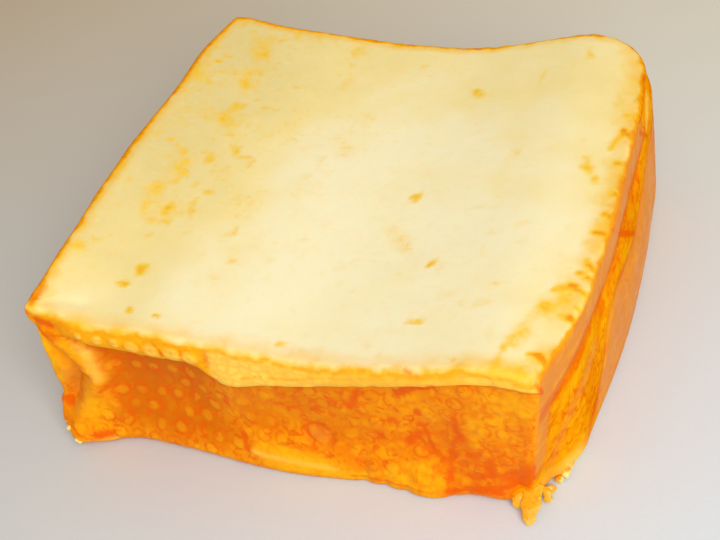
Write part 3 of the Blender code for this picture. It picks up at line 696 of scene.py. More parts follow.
# %% Stains of the cut face
STAINS = [
    (1, 78, 1, 77, 1.5, 0.5), (13, 77, 14, 75.5, 1.6, 0.9), (8, 80, 15, 80.5, 1.5, 0.6),
    (5, 54, 10, 50.5, 0.9, 0.7), (10, 50.5, 12, 41, 0.7, 0.5), (19, 54, 20, 53.6, 1.2, 1),
    (8, 39, 8.6, 38.6, 1.8, 0.7), (20, 40, 20.4, 39.6, 1, 1.2), (2, 39, 2, 38.6, 0.9, 0.5),
    (11, 29.4, 15, 29.8, 1, 0.8), (18, 36, 19, 33, 0.9, 0.8), (20, 27, 21, 26.6, 0.9, 0.6),
    (1, 18, 2, 17.6, 1.3, 0.8), (15.8, 16.4, 16.4, 14.8, 1, 1.4), (13.4, 11.4, 14.6, 11.8, 0.9, 1.6),
    (66.4, 80.6, 67.4, 79.8, 1.4, 1.6), (63, 46, 63.2, 45, 0.9, 1.7), (72, 27, 71.8, 26, 0.8, 2),
    (61, 36, 66, 30.4, 1.6, 0.5), (72, 11.2, 74.4, 11.4, 0.7, 1), (50, 2.6, 50.4, 3, 0.7, 1.5),
    (24, 4.2, 25.2, 3.8, 0.7, 1.4), (18, 4.8, 18.6, 4.6, 0.7, 1.3), (86, 37, 86.6, 37, 0.9, 0.6),
    (70, 70, 70.4, 70, 0.8, 0.5), (80, 88, 80, 82, 0.8, 0.5), (51.6, 90, 52, 90, 1, 0.6),
    (94, 58.4, 96, 54.6, 0.9, 0.8), (86, 21.4, 86.4, 21, 0.6, 0.7), (83.6, 16.2, 84.6, 16, 0.8, 0.6),
    (83, 2.6, 83.2, 2.2, 0.7, 1.1), (98.8, 20.4, 95.6, 17.4, 1.9, 1), (95, 16, 93.4, 12, 1.4, 0.7),
    (92.9, 9.6, 92.3, 8.2, 1.7, 1), (91.1, 5.9, 90.9, 5.6, 0.9, 0.9), (90.5, 3, 90.3, 1.4, 1.3, 1),
    (96.6, 4.6, 93, 0, 2.2, 0.6), (101, 10, 100, 4, 1.2, 0.6), (99, 1, 88, -1.4, 1.8, 0.6),
    (12, 92, 13.6, 84, 2.6, 0.35), (80, 62, 79, 46, 1.2, 0.25), (33, 90, 36, 95, 1.6, 0.35),
    (36, 83, 36, 79.6, 1.4, 0.45), (25, 77, 26, 77.6, 0.9, 0.5), (43, 57, 44, 56.4, 1.3, 0.35),
    (1, 54, 2, 58, 1, 0.4), (13, 66, 14, 62, 1.2, 0.5), (54, 24, 56, 24.6, 0.7, 0.5),
    (31, 16, 31.4, 15.6, 0.7, 0.45), (57, 26, 57.4, 26, 0.6, 0.5), (88, 95, 89, 91.6, 1, 0.7),
    (96, 90, 99.4, 84, 0.9, 0.4), (18, 99, 18.4, 96, 0.9, 0.6), (24, 98, 24.4, 96, 0.7, 0.6),
    (34, 96.6, 34.4, 94.6, 0.7, 0.6),
]
ARCS = [
    (101.9, 66, 99.9, 68.2, 0.7, 1.9), (99.8, 67.8, 98.4, 61.6, 0.7, 1),
    (101.4, 72.6, 99.2, 73.4, 0.7, 1.2), (102.4, 57, 100.1, 57.9, 0.6, 1.6),
    (94.6, 55.4, 95.4, 54.8, 1.1, 1), (97, 52.6, 97.4, 51.6, 1, 1), (102.4, 48.2, 100.9, 48.8, 0.8, 1.9),
    (102.4, 41.7, 100.6, 42.4, 0.8, 1.9), (102.2, 36.8, 99.9, 37.6, 0.8, 1.9),
    (102, 27, 100.2, 29, 0.7, 1.7), (101.9, 24.6, 99.4, 26.2, 0.6, 1.6), (101.4, 21, 99, 22.8, 0.7, 1.4),
    (99, 22.8, 96.4, 20.8, 0.8, 1.2), (101.8, 17, 100.4, 17.6, 0.5, 1.2), (101.9, 13.8, 100, 15, 0.7, 1.6),
    (100, 15, 98.2, 15, 0.6, 1.1), (95.2, 5.2, 97.2, 5, 0.6, 1.4), (97.2, 5, 98.8, 3.4, 0.8, 1.9),
    (98.8, 3.4, 99.4, 0.6, 0.7, 1.6), (0.2, 0.9, -0.8, 4.2, 0.8, 2.2),
]
right_side = smooth(unrolled, 96.0, 104.0) * fading(unrolled, 180.0, 196.0)
left_side = fading(unrolled, -12.0, -2.0) + smooth(unrolled, 284.0, 300.0)
drift_x, drift_y = 0.9 * cloud(x, y, 0.0, 2.2, 60), 0.9 * cloud(x, y, 0.0, 2.2, 61)
stain = strokes(x + drift_x, y + drift_y, STAINS) * (0.9 + 0.5 * cloud(x, y, 0.0, 1.7, 51))
arc_shift = 0.5 * cloud(x, y, 0.0, 1.9, 55)
burnt = strokes(x + arc_shift, y - arc_shift, ARCS)
print("stained points:", int((stain > 0.3).sum()), " burnt points:", int((burnt > 0.3).sum()))

# %% Halos, speckles, and yellowing with painted light falloff, of the cut face
right_halo = smooth(over_edge, -11.0, -1.0) * right_side * smooth(cloud(x, y, 0.0, 3.4, 54), -0.3, 0.8)
left_halo = left_side * smooth(over_edge, -8.0, -0.5) * smooth(cloud(x, y, 0.0, 4.6, 58), -0.4, 0.9)
blotchy = fading(x, 10.0, 60.0) * smooth(y, 8.0, 45.0)
mottled = 0.35 + 0.65 * blotchy
speckle = smooth(cloud(x, y, 0.0, 2.4, 52) + 0.6 * cloud(x, y, 0.0, 9.0, 53), 0.45, 1.0)
speckle = speckle + 0.8 * smooth(cloud(x, y, 0.0, 1.3, 59) + 0.5 * cloud(x, y, 0.0, 7.0, 53), 0.62, 1.1)
patchy = smooth(cloud(x, y, 0.0, 6.0, 56) + 0.5 * cloud(x, y, 0.0, 2.6, 57), 0.0, 0.8)
stain = stain + 0.6 * right_halo * (1.0 - 0.9 * white_spot) + 0.35 * left_halo
stain = stain + speckle * (0.35 + 0.6 * blotchy) + patchy * (0.10 + 0.36 * blotchy)
stain, burnt = (np.clip(field, 0.0, 2.0) * fading(over_edge, 2.2, 4.0) for field in (stain, burnt))
# Yellower and dimmer away from the front right and towards the left: partly the cheese's own yellowing,
# partly painted falloff of the light.
yellowing_and_light_falloff = 0.2 + 0.8 * smooth(np.hypot(x - 58.0, (y - 26.0) * 0.85), 20.0, 62.0)
yellowing_and_light_falloff = yellowing_and_light_falloff + 0.9 * fading(x, 4.0, 46.0) * smooth(y, 4.0, 24.0)
print("points with speckles:", int((speckle > 0.3).sum()))

# %% [markdown]
# ## From points to a mesh
#
# The points move from the corner frame to the middle of the base, and millimetres become metres.
# The masks go in as attributes, and the unrolled map as a UV map. Where a face crosses the seam
# at the back left corner, its points on the far side are carried on past the end of the map.
# Last, each point of the rind is pushed out along its normal by the height of its scale.

# %% Build the skin
MAP_UNIT = 0.01
FAR_FROM_FOLD = -9.0
SCALE_RADIUS, SCALE_HEIGHT, BEAD_HEIGHT = 1.4, 0.14, 0.22


def to_metres(millimetres):
    """Moves points to the middle of the base and scales them to metres."""
    return (np.asarray(millimetres, float) - np.array([MIDDLE[0], MIDDLE[1], 0.0])) * MM


def mesh_object(name, millimetres, faces):
    """A smooth shaded mesh object from points in millimetres and a list of faces."""
    mesh = bpy.data.meshes.new(name)
    mesh.from_pydata(to_metres(millimetres).tolist(), [], faces)
    mesh.shade_smooth()
    made = bpy.data.objects.new(name, mesh)
    bpy.context.scene.collection.objects.link(made)
    return made


def put_map(mesh, first, second):
    """Writes a UV map from millimetres, carrying faces that cross the seam past its end."""
    corners = np.empty(len(mesh.loops), int)
    mesh.loops.foreach_get("vertex_index", corners)
    starts = np.empty(len(mesh.polygons), int)
    totals = np.empty(len(mesh.polygons), int)
    mesh.polygons.foreach_get("loop_start", starts)
    mesh.polygons.foreach_get("loop_total", totals)
    place = first[corners]
    highest = np.repeat(np.maximum.reduceat(place, starts), totals)
    place = np.where(highest - place > ROUND / 2.0, place + ROUND, place)
    layer = mesh.uv_layers.new(name="rind_map")
    layer.uv.foreach_set("vector", (np.stack([place, second[corners]], axis=-1) * MAP_UNIT).ravel())


def put_mask(mesh, name, values):
    """Stores one value for each point."""
    layer = mesh.attributes.new(name, "FLOAT", "POINT")
    layer.data.foreach_set("value", np.asarray(values, np.float32))


def push_out(mesh, millimetres):
    """Moves each point along its normal."""
    places, normals = np.empty(3 * len(mesh.vertices)), np.empty(3 * len(mesh.vertices))
    mesh.vertices.foreach_get("co", places)
    mesh.vertices.foreach_get("normal", normals)
    places = places + normals * np.repeat(millimetres, 3) * MM
    places[2::3] = np.maximum(places[2::3], 0.0)
    mesh.vertices.foreach_set("co", places)
    mesh.update()


skin = mesh_object("muenster_skin", points, quads.tolist() + strips.tolist())
put_map(skin.data, map_along, map_down)
# Of these masks, deep carries painted shade, the pinkish one a painted reflection of the board, and the
# yellowing one painted falloff of the light besides the real yellowing.
MASKS = {
    "edge": edge, "glow": glow, "lip": lip_up, "pale": pale, "gold": gold, "pleat": pleat, "deep": painted_shade_mask,
    "red": red, "scar": scar, "fold": fold * right + FAR_FROM_FOLD * (1.0 - right), "lane": lane,
    "side": right, "gloss": gloss, "pinkish_sheen": pinkish_sheen, "stain": stain, "burnt": burnt,
    "yellowing_and_light_falloff": yellowing_and_light_falloff, "mottled": mottled,
}
for name, values in MASKS.items():
    put_mask(skin.data, name, values)
shown_scales = scale_chance * (0.25 + 0.75 * front * in_pocket * below_lip)
put_mask(skin.data, "shown", shown_scales)
dome = smooth(SCALE_RADIUS * 1.35 - scale_away, 0.0, SCALE_RADIUS)
calm = (1.0 - 0.75 * right) * (1.0 - 0.6 * left) * smooth(scale_chance, 0.0, 0.5)
calm = calm * smooth(edge, 0.2, 2.0) * (1.0 - under) * (1.0 - 0.8 * foot_gold)
push_out(skin.data, SCALE_HEIGHT * dome * calm)
push_out(skin.data, BEAD_HEIGHT * beads)
print("skin:", len(skin.data.vertices), "points,", len(skin.data.polygons), "faces")

# %% [markdown]
# ## The cheese material
#
# One material covers the whole skin, because cut face and rind run into each other. It mixes a
# cream colour with its stains, and an orange with its scales, pale fields and red pools, by the
# masks. Painted shade, a painted sheen and a painted falloff of the light come in through the
# masks too. Cheese lets light in a few millimetres, so the shader scatters some of it below the
# surface. The rind is moist, with a little real gloss on the pressed right side, and the pinkish
# sheen there is painted into its colour.

# %% Small helpers for shader nodes


def node_in(tree, kind, inputs=None, **settings):
    """Adds a node with its settings, and links or sets its inputs by name or number."""
    made = tree.nodes.new(kind)
    for name, value in settings.items():
        setattr(made, name, value)
    for name, value in (inputs or {}).items():
        if isinstance(value, bpy.types.NodeSocket):
            tree.links.new(value, made.inputs[name])
        else:
            made.inputs[name].default_value = value
    return made


def attribute(tree, name):
    """One mask as a factor."""
    return node_in(tree, "ShaderNodeAttribute", attribute_name=name).outputs["Fac"]


def sums(tree, operation, *values):
    """One arithmetic step."""
    return node_in(tree, "ShaderNodeMath", dict(enumerate(values)), operation=operation).outputs[0]


def product(tree, *values):
    """All the values multiplied."""
    total = values[0]
    for value in values[1:]:
        total = sums(tree, "MULTIPLY", total, value)
    return total


def between(tree, value, low, high, to_low=0.0, to_high=1.0):
    """A smooth step of a value from low to high."""
    inputs = {"Value": value, "From Min": low, "From Max": high, "To Min": to_low, "To Max": to_high}
    return node_in(tree, "ShaderNodeMapRange", inputs, interpolation_type="SMOOTHSTEP").outputs[0]


def line_at(tree, value, place, width):
    """A thin line where a value passes a place."""
    return between(tree, sums(tree, "ABSOLUTE", sums(tree, "SUBTRACT", value, place)), width, width * 0.25)


def mixed(tree, factor, first, second):
    """Two colours mixed by a factor."""
    made = tree.nodes.new("ShaderNodeMix")
    made.data_type = "RGBA"
    for socket, value in ((0, factor), (6, first), (7, second)):
        if isinstance(value, bpy.types.NodeSocket):
            tree.links.new(value, made.inputs[socket])
        else:
            made.inputs[socket].default_value = value
    return made.outputs[2]


def noise(tree, place, size, detail=2.0, roughness=0.5):
    """Noise with features about as large as the size, in millimetres."""
    inputs = {"Vector": place, "Scale": 1.0 / (size * MM), "Detail": detail, "Roughness": roughness}
    return node_in(tree, "ShaderNodeTexNoise", inputs).outputs[0]


def swing(tree, place, size, detail, reach):
    """Noise about zero, as far as half the reach each way."""
    return product(tree, sums(tree, "SUBTRACT", noise(tree, place, size, detail), 0.5), reach)


def spots(tree, place, size, detail, low, high, to_low=0.0, to_high=1.0):
    """Noise turned into soft spots, by a smooth step of it."""
    return between(tree, noise(tree, place, size, detail), low, high, to_low, to_high)


def vectors(tree, operation, *values):
    """One step of vector arithmetic."""
    return node_in(tree, "ShaderNodeVectorMath", dict(enumerate(values)), operation=operation)


def scale_distance(tree, flat):
    """Distance in millimetres from the nearest scale's centre, by the rule of honeycomb."""
    size = (SCALE_PITCH, 2.0 * ROW_PITCH, 1.0)
    cell = vectors(tree, "DIVIDE", flat, tuple(value * MAP_UNIT for value in size)).outputs[0]
    found = []
    for shift in (0.0, 0.5):
        moved = vectors(tree, "ADD", cell, (shift, shift, 0.5)).outputs[0]
        part = vectors(tree, "FRACTION", moved).outputs[0]
        middle = vectors(tree, "SUBTRACT", part, (0.5, 0.5, 0.5)).outputs[0]
        away = vectors(tree, "MULTIPLY", middle, size).outputs[0]
        found.append(vectors(tree, "LENGTH", away).outputs["Value"])
    return sums(tree, "MINIMUM", *found)


def cell_lines(tree, flat, size, width, randomness=0.9):
    """Lines between irregular cells of a size in millimetres, as wide as a share of a cell."""
    scaled = vectors(tree, "DIVIDE", flat, tuple(value * MAP_UNIT for value in (*size, 100.0))).outputs[0]
    inputs = {"Vector": scaled, "Scale": 1.0, "Randomness": randomness}
    cells = node_in(tree, "ShaderNodeTexVoronoi", inputs, voronoi_dimensions="2D", feature="DISTANCE_TO_EDGE")
    return between(tree, cells.outputs["Distance"], width, 0.0)


def let_light_in(shader, weight, radius, depth):
    """Scatters a share of the light below the surface, redder the deeper it goes."""
    shader.inputs["Subsurface Weight"].default_value = weight
    shader.inputs["Subsurface Radius"].default_value = radius
    shader.inputs["Subsurface Scale"].default_value = depth


def roughen(tree, shader, height, strength, distance):
    """Tilts the shading by the slope of a fine relief."""
    bumps = node_in(tree, "ShaderNodeBump", {"Height": height, "Strength": strength, "Distance": distance})
    tree.links.new(bumps.outputs[0], shader.inputs["Normal"])


def new_material(name):
    """A fresh material with its tree and shader."""
    material = bpy.data.materials.new(name)
    material.use_nodes = True
    return material, material.node_tree, material.node_tree.nodes["Principled BSDF"]


print("shader helpers ready")

# %% Rind colour
ORANGE = (0.800, 0.215, 0.001, 1.0)
BRIGHT = (0.840, 0.300, 0.001, 1.0)
# The deep orange is the rind's colour in painted shade.
DEEP_SHADE = (0.620, 0.145, 0.001, 1.0)
RED = (0.740, 0.095, 0.001, 1.0)
PALE = (0.940, 0.600, 0.090, 1.0)
GOLD = (0.900, 0.430, 0.004, 1.0)
FRINGE = (0.920, 0.480, 0.012, 1.0)
# A pinkish that paints the board's reflection on the right side and the hollow, and is also the scar's own
# colour.
SHEEN_AND_SCAR_PINK = (0.750, 0.250, 0.024, 1.0)


def rind_colour(tree, place, flat):
    """Orange in patches, painted deep orange as shade in the pocket and folds, with the scales, their
    rings and the squiggles between.
    """
    patches = spots(tree, place, 7.0, 3.0, 0.36, 0.64)
    colour = mixed(tree, patches, ORANGE, BRIGHT)
    uneven = spots(tree, place, 4.0, 2.0, 0.25, 0.6, 0.7, 1.0)
    # Painted shade: deeper orange where the deep mask lies.
    colour = mixed(tree, product(tree, attribute(tree, "deep"), uneven), colour, DEEP_SHADE)
    golden = spots(tree, place, 3.0, 2.0, 0.25, 0.6, 0.6, 1.0)
    colour = mixed(tree, product(tree, attribute(tree, "gold"), golden), colour, GOLD)
    plain = between(tree, attribute(tree, "gold"), 0.0, 0.8, 1.0, 0.25)
    away = scale_distance(tree, flat)
    wobble = swing(tree, place, 1.8, 2.0, 1.1)
    away = sums(tree, "ADD", away, wobble)
    shown = between(tree, attribute(tree, "shown"), 0.0, 0.5, 0.15, 1.0)
    disc = product(tree, between(tree, away, SCALE_RADIUS * 0.92, SCALE_RADIUS * 0.45), shown, 0.26)
    colour = mixed(tree, disc, colour, FRINGE)
    broken = spots(tree, place, 2.6, 1.0, 0.36, 0.60)
    ring_strength = between(tree, shown, 0.0, 1.0, 0.35, 0.75)
    rings = product(tree, line_at(tree, away, SCALE_RADIUS * 1.05, 0.45), ring_strength, broken, plain)
    colour = mixed(tree, rings, colour, RED)
    elsewhere = vectors(tree, "ADD", place, (0.1, 0.2, 0.3)).outputs[0]
    blots = spots(tree, elsewhere, 2.2, 1.5, 0.52, 0.68, 0.0, 0.40)
    # Golden blots stay out of the painted shade.
    shallow = sums(tree, "SUBTRACT", 1.0, attribute(tree, "deep"))
    colour = mixed(tree, product(tree, blots, shallow), colour, GOLD)
    faded = spots(tree, place, 5.0, 2.0, 0.36, 0.60, 0.18, 0.72)
    torn_up = spots(tree, elsewhere, 1.7, 1.0, 0.44, 0.58)
    curls = line_at(tree, noise(tree, place, 3.4, 1.0), 0.5, 0.075)
    loops = line_at(tree, noise(tree, elsewhere, 2.6, 0.5), 0.56, 0.07)
    curls = product(tree, sums(tree, "MAXIMUM", curls, loops), faded, torn_up, plain)
    return mixed(tree, curls, colour, RED)


def pale_fields(tree, colour, place, flat):
    """Pale fields on lip and ridges, with faint scales, and pleats parted by orange lines. One pale
    streak on the foot is a painted highlight.
    """
    lines = cell_lines(tree, flat, (3.2, 8.0), 0.2, 0.7)
    soft = spots(tree, place, 2.6, 2.0, 0.35, 0.6, 0.25, 0.9)
    colour = mixed(tree, product(tree, lines, attribute(tree, "pleat"), soft), colour, ORANGE)
    uneven = spots(tree, place, 2.6, 2.0, 0.25, 0.6, 0.65, 1.0)
    colour = mixed(tree, product(tree, attribute(tree, "pale"), uneven), colour, PALE)
    small = product(tree, cell_lines(tree, flat, (2.3, 1.7), 0.25, 0.6), soft, attribute(tree, "pale"), 0.30)
    return mixed(tree, small, colour, ORANGE)


def lip_lines(tree, colour, place, ragged):
    """Thin broken orange lines run along the lip, and a darker one along its lower edge, painted
    there as the shadow under the lip.
    """
    height = attribute(tree, "lip")
    drift = swing(tree, place, 5.0, 2.0, 1.4)
    broken = spots(tree, place, 2.0, 2.0, 0.30, 0.50)
    middle = product(tree, line_at(tree, sums(tree, "ADD", height, drift), 2.4, 0.5), attribute(tree, "pale"))
    upper = line_at(tree, ragged, 1.1, 0.8)
    both = product(tree, sums(tree, "MAXIMUM", middle, upper), broken, 0.5)
    colour = mixed(tree, both, colour, BRIGHT)
    # Painted shadow: a deep orange line under the lip's lower edge.
    return mixed(tree, product(tree, line_at(tree, height, -0.1, 0.45), 0.6), colour, DEEP_SHADE)


def side_streaks(tree, colour, flat):
    """Streaks along the folds of the right side: bright orange between pinkish bands that are a
    painted reflection of the pale board, with a red line painted as shade in each groove.
    """
    parts = node_in(tree, "ShaderNodeSeparateXYZ", {0: flat})
    across_folds = product(tree, attribute(tree, "lane"), 2.6)
    joined = node_in(tree, "ShaderNodeCombineXYZ", {0: across_folds, 1: product(tree, parts.outputs[0], 5.0)})
    inputs = {"Vector": joined.outputs[0], "Scale": 1.0, "Detail": 3.0, "Roughness": 0.6}
    streaks = node_in(tree, "ShaderNodeTexNoise", inputs, noise_dimensions="2D").outputs[0]
    on_side = attribute(tree, "side")
    colour = mixed(tree, product(tree, between(tree, streaks, 0.52, 0.68), on_side, 0.25), colour, RED)
    colour = mixed(tree, product(tree, between(tree, streaks, 0.50, 0.36), on_side, 0.3), colour, GOLD)
    # Painted reflection of the pale board: dull pinkish bands.
    dull = product(tree, attribute(tree, "pinkish_sheen"), between(tree, streaks, 0.36, 0.60, 0.35, 0.92))
    colour = mixed(tree, dull, colour, SHEEN_AND_SCAR_PINK)
    # Painted shade: a red line along each groove.
    both_folds = sums(tree, "ABSOLUTE", sums(tree, "SUBTRACT", attribute(tree, "fold"), 0.5))
    groove_shade = product(tree, line_at(tree, both_folds, 0.5, 0.12), between(tree, streaks, 0.3, 0.5, 0.2, 0.6))
    return mixed(tree, groove_shade, colour, RED)


def red_pools(tree, colour, place):
    """Red gathers in the pools of the mask, with torn edges."""
    torn = swing(tree, place, 1.8, 3.0, 1.3)
    amount = between(tree, sums(tree, "ADD", attribute(tree, "red"), torn), 0.18, 1.10, 0.0, 0.85)
    colour = mixed(tree, amount, colour, RED)
    return mixed(tree, product(tree, attribute(tree, "scar"), 0.6), colour, SHEEN_AND_SCAR_PINK)


# %% Cut face colour
CREAM = (0.955, 0.860, 0.560, 1.0)
CREAM_WARM = (0.920, 0.760, 0.330, 1.0)
# The dim cream is painted shade where the light falls off.
CREAM_PAINTED_DIM = (0.810, 0.660, 0.280, 1.0)
STAIN = (0.940, 0.590, 0.035, 1.0)
BURNT = (0.870, 0.280, 0.004, 1.0)
EDGE_YELLOW = (0.940, 0.540, 0.040, 1.0)
CURD = (0.950, 0.740, 0.240, 1.0)


def cut_colour(tree, place):
    """Cream, yellower towards the back and in clouds, with the stains of the mask. Towards the back
    left it is also painted dimmer, for the falloff of the light.
    """
    clouds = swing(tree, place, 13.0, 4.0, 1.5)
    tint_and_falloff = sums(tree, "ADD", attribute(tree, "yellowing_and_light_falloff"), clouds)
    colour = mixed(tree, between(tree, tint_and_falloff, 0.0, 1.2), CREAM, CREAM_WARM)
    # Painted shade: the dimmest cream where the light falls off at the back left.
    colour = mixed(tree, between(tree, tint_and_falloff, 0.8, 2.2), colour, CREAM_PAINTED_DIM)
    fine = spots(tree, place, 2.0, 4.0, 0.52, 0.75, 0.0, 0.3)
    colour = mixed(tree, fine, colour, CREAM_WARM)
    grain = spots(tree, place, 1.0, 3.0, 0.25, 0.65, 0.7, 1.0)
    specks = spots(tree, place, 1.6, 3.0, 0.50, 0.72, 0.0, 0.9)
    specks = product(tree, specks, attribute(tree, "mottled"), 0.4)
    stain = sums(tree, "ADD", product(tree, attribute(tree, "stain"), grain), specks)
    colour = mixed(tree, between(tree, stain, 0.0, 1.1, 0.0, 0.95), colour, STAIN)
    return mixed(tree, between(tree, stain, 0.8, 1.9, 0.0, 0.6), colour, BURNT)


def edge_parts(tree, place):
    """Signed distance from the rind's start, made ragged, and how much of the surface is rind."""
    ragged = swing(tree, place, 3.2, 2.0, 2.6)
    ragged = sums(tree, "ADD", attribute(tree, "edge"), ragged)
    return ragged, between(tree, ragged, -0.8, 1.0)


# %% The whole material
SCATTER_DEPTH = 0.003


def cheese_material():
    """Mixes the cut face and the rind by the mask, with their shine, bumps and scattering."""
    material, tree, shader = new_material("muenster")
    place = node_in(tree, "ShaderNodeTexCoord").outputs["Object"]
    flat = node_in(tree, "ShaderNodeUVMap", uv_map="rind_map").outputs[0]
    ragged, is_rind = edge_parts(tree, place)
    rind_part = rind_colour(tree, place, flat)
    rind_part = side_streaks(tree, rind_part, flat)
    rind_part = pale_fields(tree, rind_part, place, flat)
    rind_part = red_pools(tree, rind_part, place)
    not_red = between(tree, attribute(tree, "red"), 0.2, 0.9, 0.75, 0.1)
    fringe = product(tree, between(tree, ragged, 2.6, 0.2), not_red)
    rind_part = mixed(tree, fringe, rind_part, FRINGE)
    rind_part = lip_lines(tree, rind_part, place, ragged)
    stained = product(tree, between(tree, ragged, -4.6, 0.3), attribute(tree, "glow"))
    cut_part = mixed(tree, stained, cut_colour(tree, place), EDGE_YELLOW)
    cut_part = mixed(tree, between(tree, attribute(tree, "burnt"), 0.0, 0.9, 0.0, 0.9), cut_part, STAIN)
    cut_part = mixed(tree, between(tree, attribute(tree, "burnt"), 0.6, 2.0, 0.0, 0.9), cut_part, BURNT)
    colour = mixed(tree, is_rind, cut_part, rind_part)
    tree.links.new(colour, shader.inputs["Base Color"])
    shine = spots(tree, place, 3.0, 3.0, 0.3, 0.7, 0.28, 0.42)
    dull = spots(tree, place, 1.5, 2.0, 0.3, 0.7, 0.46, 0.60)
    roughness = node_in(tree, "ShaderNodeMix", {0: is_rind, 2: dull, 3: shine}, data_type="FLOAT").outputs[0]
    tree.links.new(roughness, shader.inputs["Roughness"])
    level = product(tree, attribute(tree, "gloss"), 0.3)
    tree.links.new(level, shader.inputs["Specular IOR Level"])
    let_light_in(shader, 0.3, (1.0, 0.5, 0.15), SCATTER_DEPTH)
    shader.inputs["IOR"].default_value = 1.45
    fine = noise(tree, place, 0.6, 3.0, 0.6)
    relief = sums(tree, "ADD", product(tree, fine, 0.4), noise(tree, place, 2.4, 2.0))
    relief = product(tree, relief, between(tree, is_rind, 0.0, 1.0, 0.35, 1.0))
    roughen(tree, shader, relief, 0.3, 0.0005)
    return material


muenster = cheese_material()
skin.data.materials.append(muenster)
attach(skin, "root")
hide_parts(NODE)
print("muenster material:", len(muenster.node_tree.nodes), "nodes")

# %% [markdown]
# ## The torn corner
#
# At the front right foot a tongue of rind was torn and droops onto the board, and pale curds were
# squeezed out beside it. The tongue is a flattened tube along a short bowed path. The curds are
# small balls that a cloud makes lumpy.

# %% Torn flap
TONGUES = [
    ((94.4, 3.4, 3.0), (94.9, -4.2, 0.6), 1.6, 0.5),
    ((91.9, 1.8, 2.4), (92.4, -1.0, 0.7), 1.1, 0.4),
    ((96.4, 3.6, 2.2), (97.3, 1.5, 0.6), 0.8, 0.4),
]
TONGUE_STEPS, TONGUE_SIDES = 40, 36


def tongue(start, end, half, thick, seed):
    """A flat tube from start to end: wide at its root, ragged at its sides, with a blunt round tip."""
    part = np.linspace(0.0, 1.0, TONGUE_STEPS)[:, None]
    turn = np.linspace(0.0, 2.0 * math.pi, TONGUE_SIDES, endpoint=False)[None, :]
    x, y, z = (a + (b - a) * part for a, b in zip(start, end))
    round_tip = np.sqrt(np.clip(1.0 - smooth(part, 0.78, 1.0) ** 2, 0.0, 1.0))
    wide = half * (1.15 - 0.25 * part) * round_tip * (1.0 + 0.3 * cloud(part * 5.0, 0.0, 0.0, 1.0, seed))
    wide, deep_half = np.maximum(wide, 0.02), np.maximum(thick * round_tip, 0.02)
    x = x + wide * np.cos(turn) + 0.3 * cloud(part * 4.0, 0.0, 3.0, 1.0, seed)
    z = z + deep_half * np.sin(turn) + 0.35 * np.sin(3.0 * part) + 0.18 * cloud(x, y, 0.0, 1.1, seed + 1)
    return np.stack(np.broadcast_arrays(x, y + 0.0 * turn, np.maximum(z, 0.05)), axis=-1).reshape(-1, 3)


def tube_faces(first, steps, around):
    """Quads between rings, and one face over each end."""
    ids = first + np.arange(steps * around).reshape(steps, around)
    return ring_faces(ids)[:, ::-1].tolist() + [ids[0, ::-1].tolist(), ids[-1].tolist()]


tongues = [tongue(*size, 61 + number) for number, size in enumerate(TONGUES)]
tongue_starts = [number * len(tongues[0]) for number in range(len(TONGUES))]
tongue_faces = [tube_faces(start, TONGUE_STEPS, TONGUE_SIDES) for start in tongue_starts]
flap = mesh_object("torn_flap", np.concatenate(tongues), sum(tongue_faces, []))
print("torn flap:", len(flap.data.polygons), "faces")

# %% Curds
CURD_SPOTS = [
    (97.6, 2.6, 0.4, 0.4), (97.4, 4.6, 1.0, 0.8), (98.4, 7.0, 0.9, 0.7), (99.1, 8.6, 1.2, 0.9),
    (99.8, 10.2, 1.5, 0.6), (-1.0, -2.0, 5.5, 0.6), (-0.3, -2.7, 4.4, 0.9), (0.9, -3.4, 3.6, 0.5),
    (1.9, -4.1, 2.6, 0.9),
]
CURD_ROWS, CURD_TURNS = 14, 22


def curd_points(x, y, z, radius, seed):
    """A ball, by latitude and longitude, that a cloud makes lumpy and gravity flattens."""
    tilt = np.linspace(0.0, math.pi, CURD_ROWS)[1:-1, None]
    turn = np.linspace(0.0, 2.0 * math.pi, CURD_TURNS, endpoint=False)[None, :]
    ball = np.stack(np.broadcast_arrays(
        np.sin(tilt) * np.cos(turn), np.sin(tilt) * np.sin(turn), np.cos(tilt) + 0.0 * turn
    ), axis=-1)
    lump = 1.0 + 0.3 * cloud(*np.moveaxis(ball, -1, 0), 0.7, seed)
    body = ball * lump[..., None] * radius * np.array([1.15, 1.1, 0.8])
    poles = np.array([[0.0, 0.0, 0.8 * radius], [0.0, 0.0, -0.8 * radius]])
    made = np.concatenate([body.reshape(-1, 3), poles]) + np.array([x, y, z])
    made[:, 2] = np.maximum(made[:, 2], 0.05)
    return made


def curd_faces(first):
    """Quads between rows and a fan at each pole."""
    ids = first + np.arange((CURD_ROWS - 2) * CURD_TURNS).reshape(CURD_ROWS - 2, CURD_TURNS)
    top, bottom = first + ids.size, first + ids.size + 1
    upper = [[top, a, b] for a, b in zip(ids[0], np.roll(ids[0], -1))]
    lower = [[bottom, b, a] for a, b in zip(ids[-1], np.roll(ids[-1], -1))]
    return ring_faces(ids).tolist() + upper + lower


curd_places = [curd_points(*spot, 80 + number) for number, spot in enumerate(CURD_SPOTS)]
curd_size = len(curd_places[0])
curd_lists = [curd_faces(number * curd_size) for number in range(len(CURD_SPOTS))]
curds = mesh_object("squeezed_curds", np.concatenate(curd_places), sum(curd_lists, []))
print("curds:", len(CURD_SPOTS))

# %% Material of the flap and curds


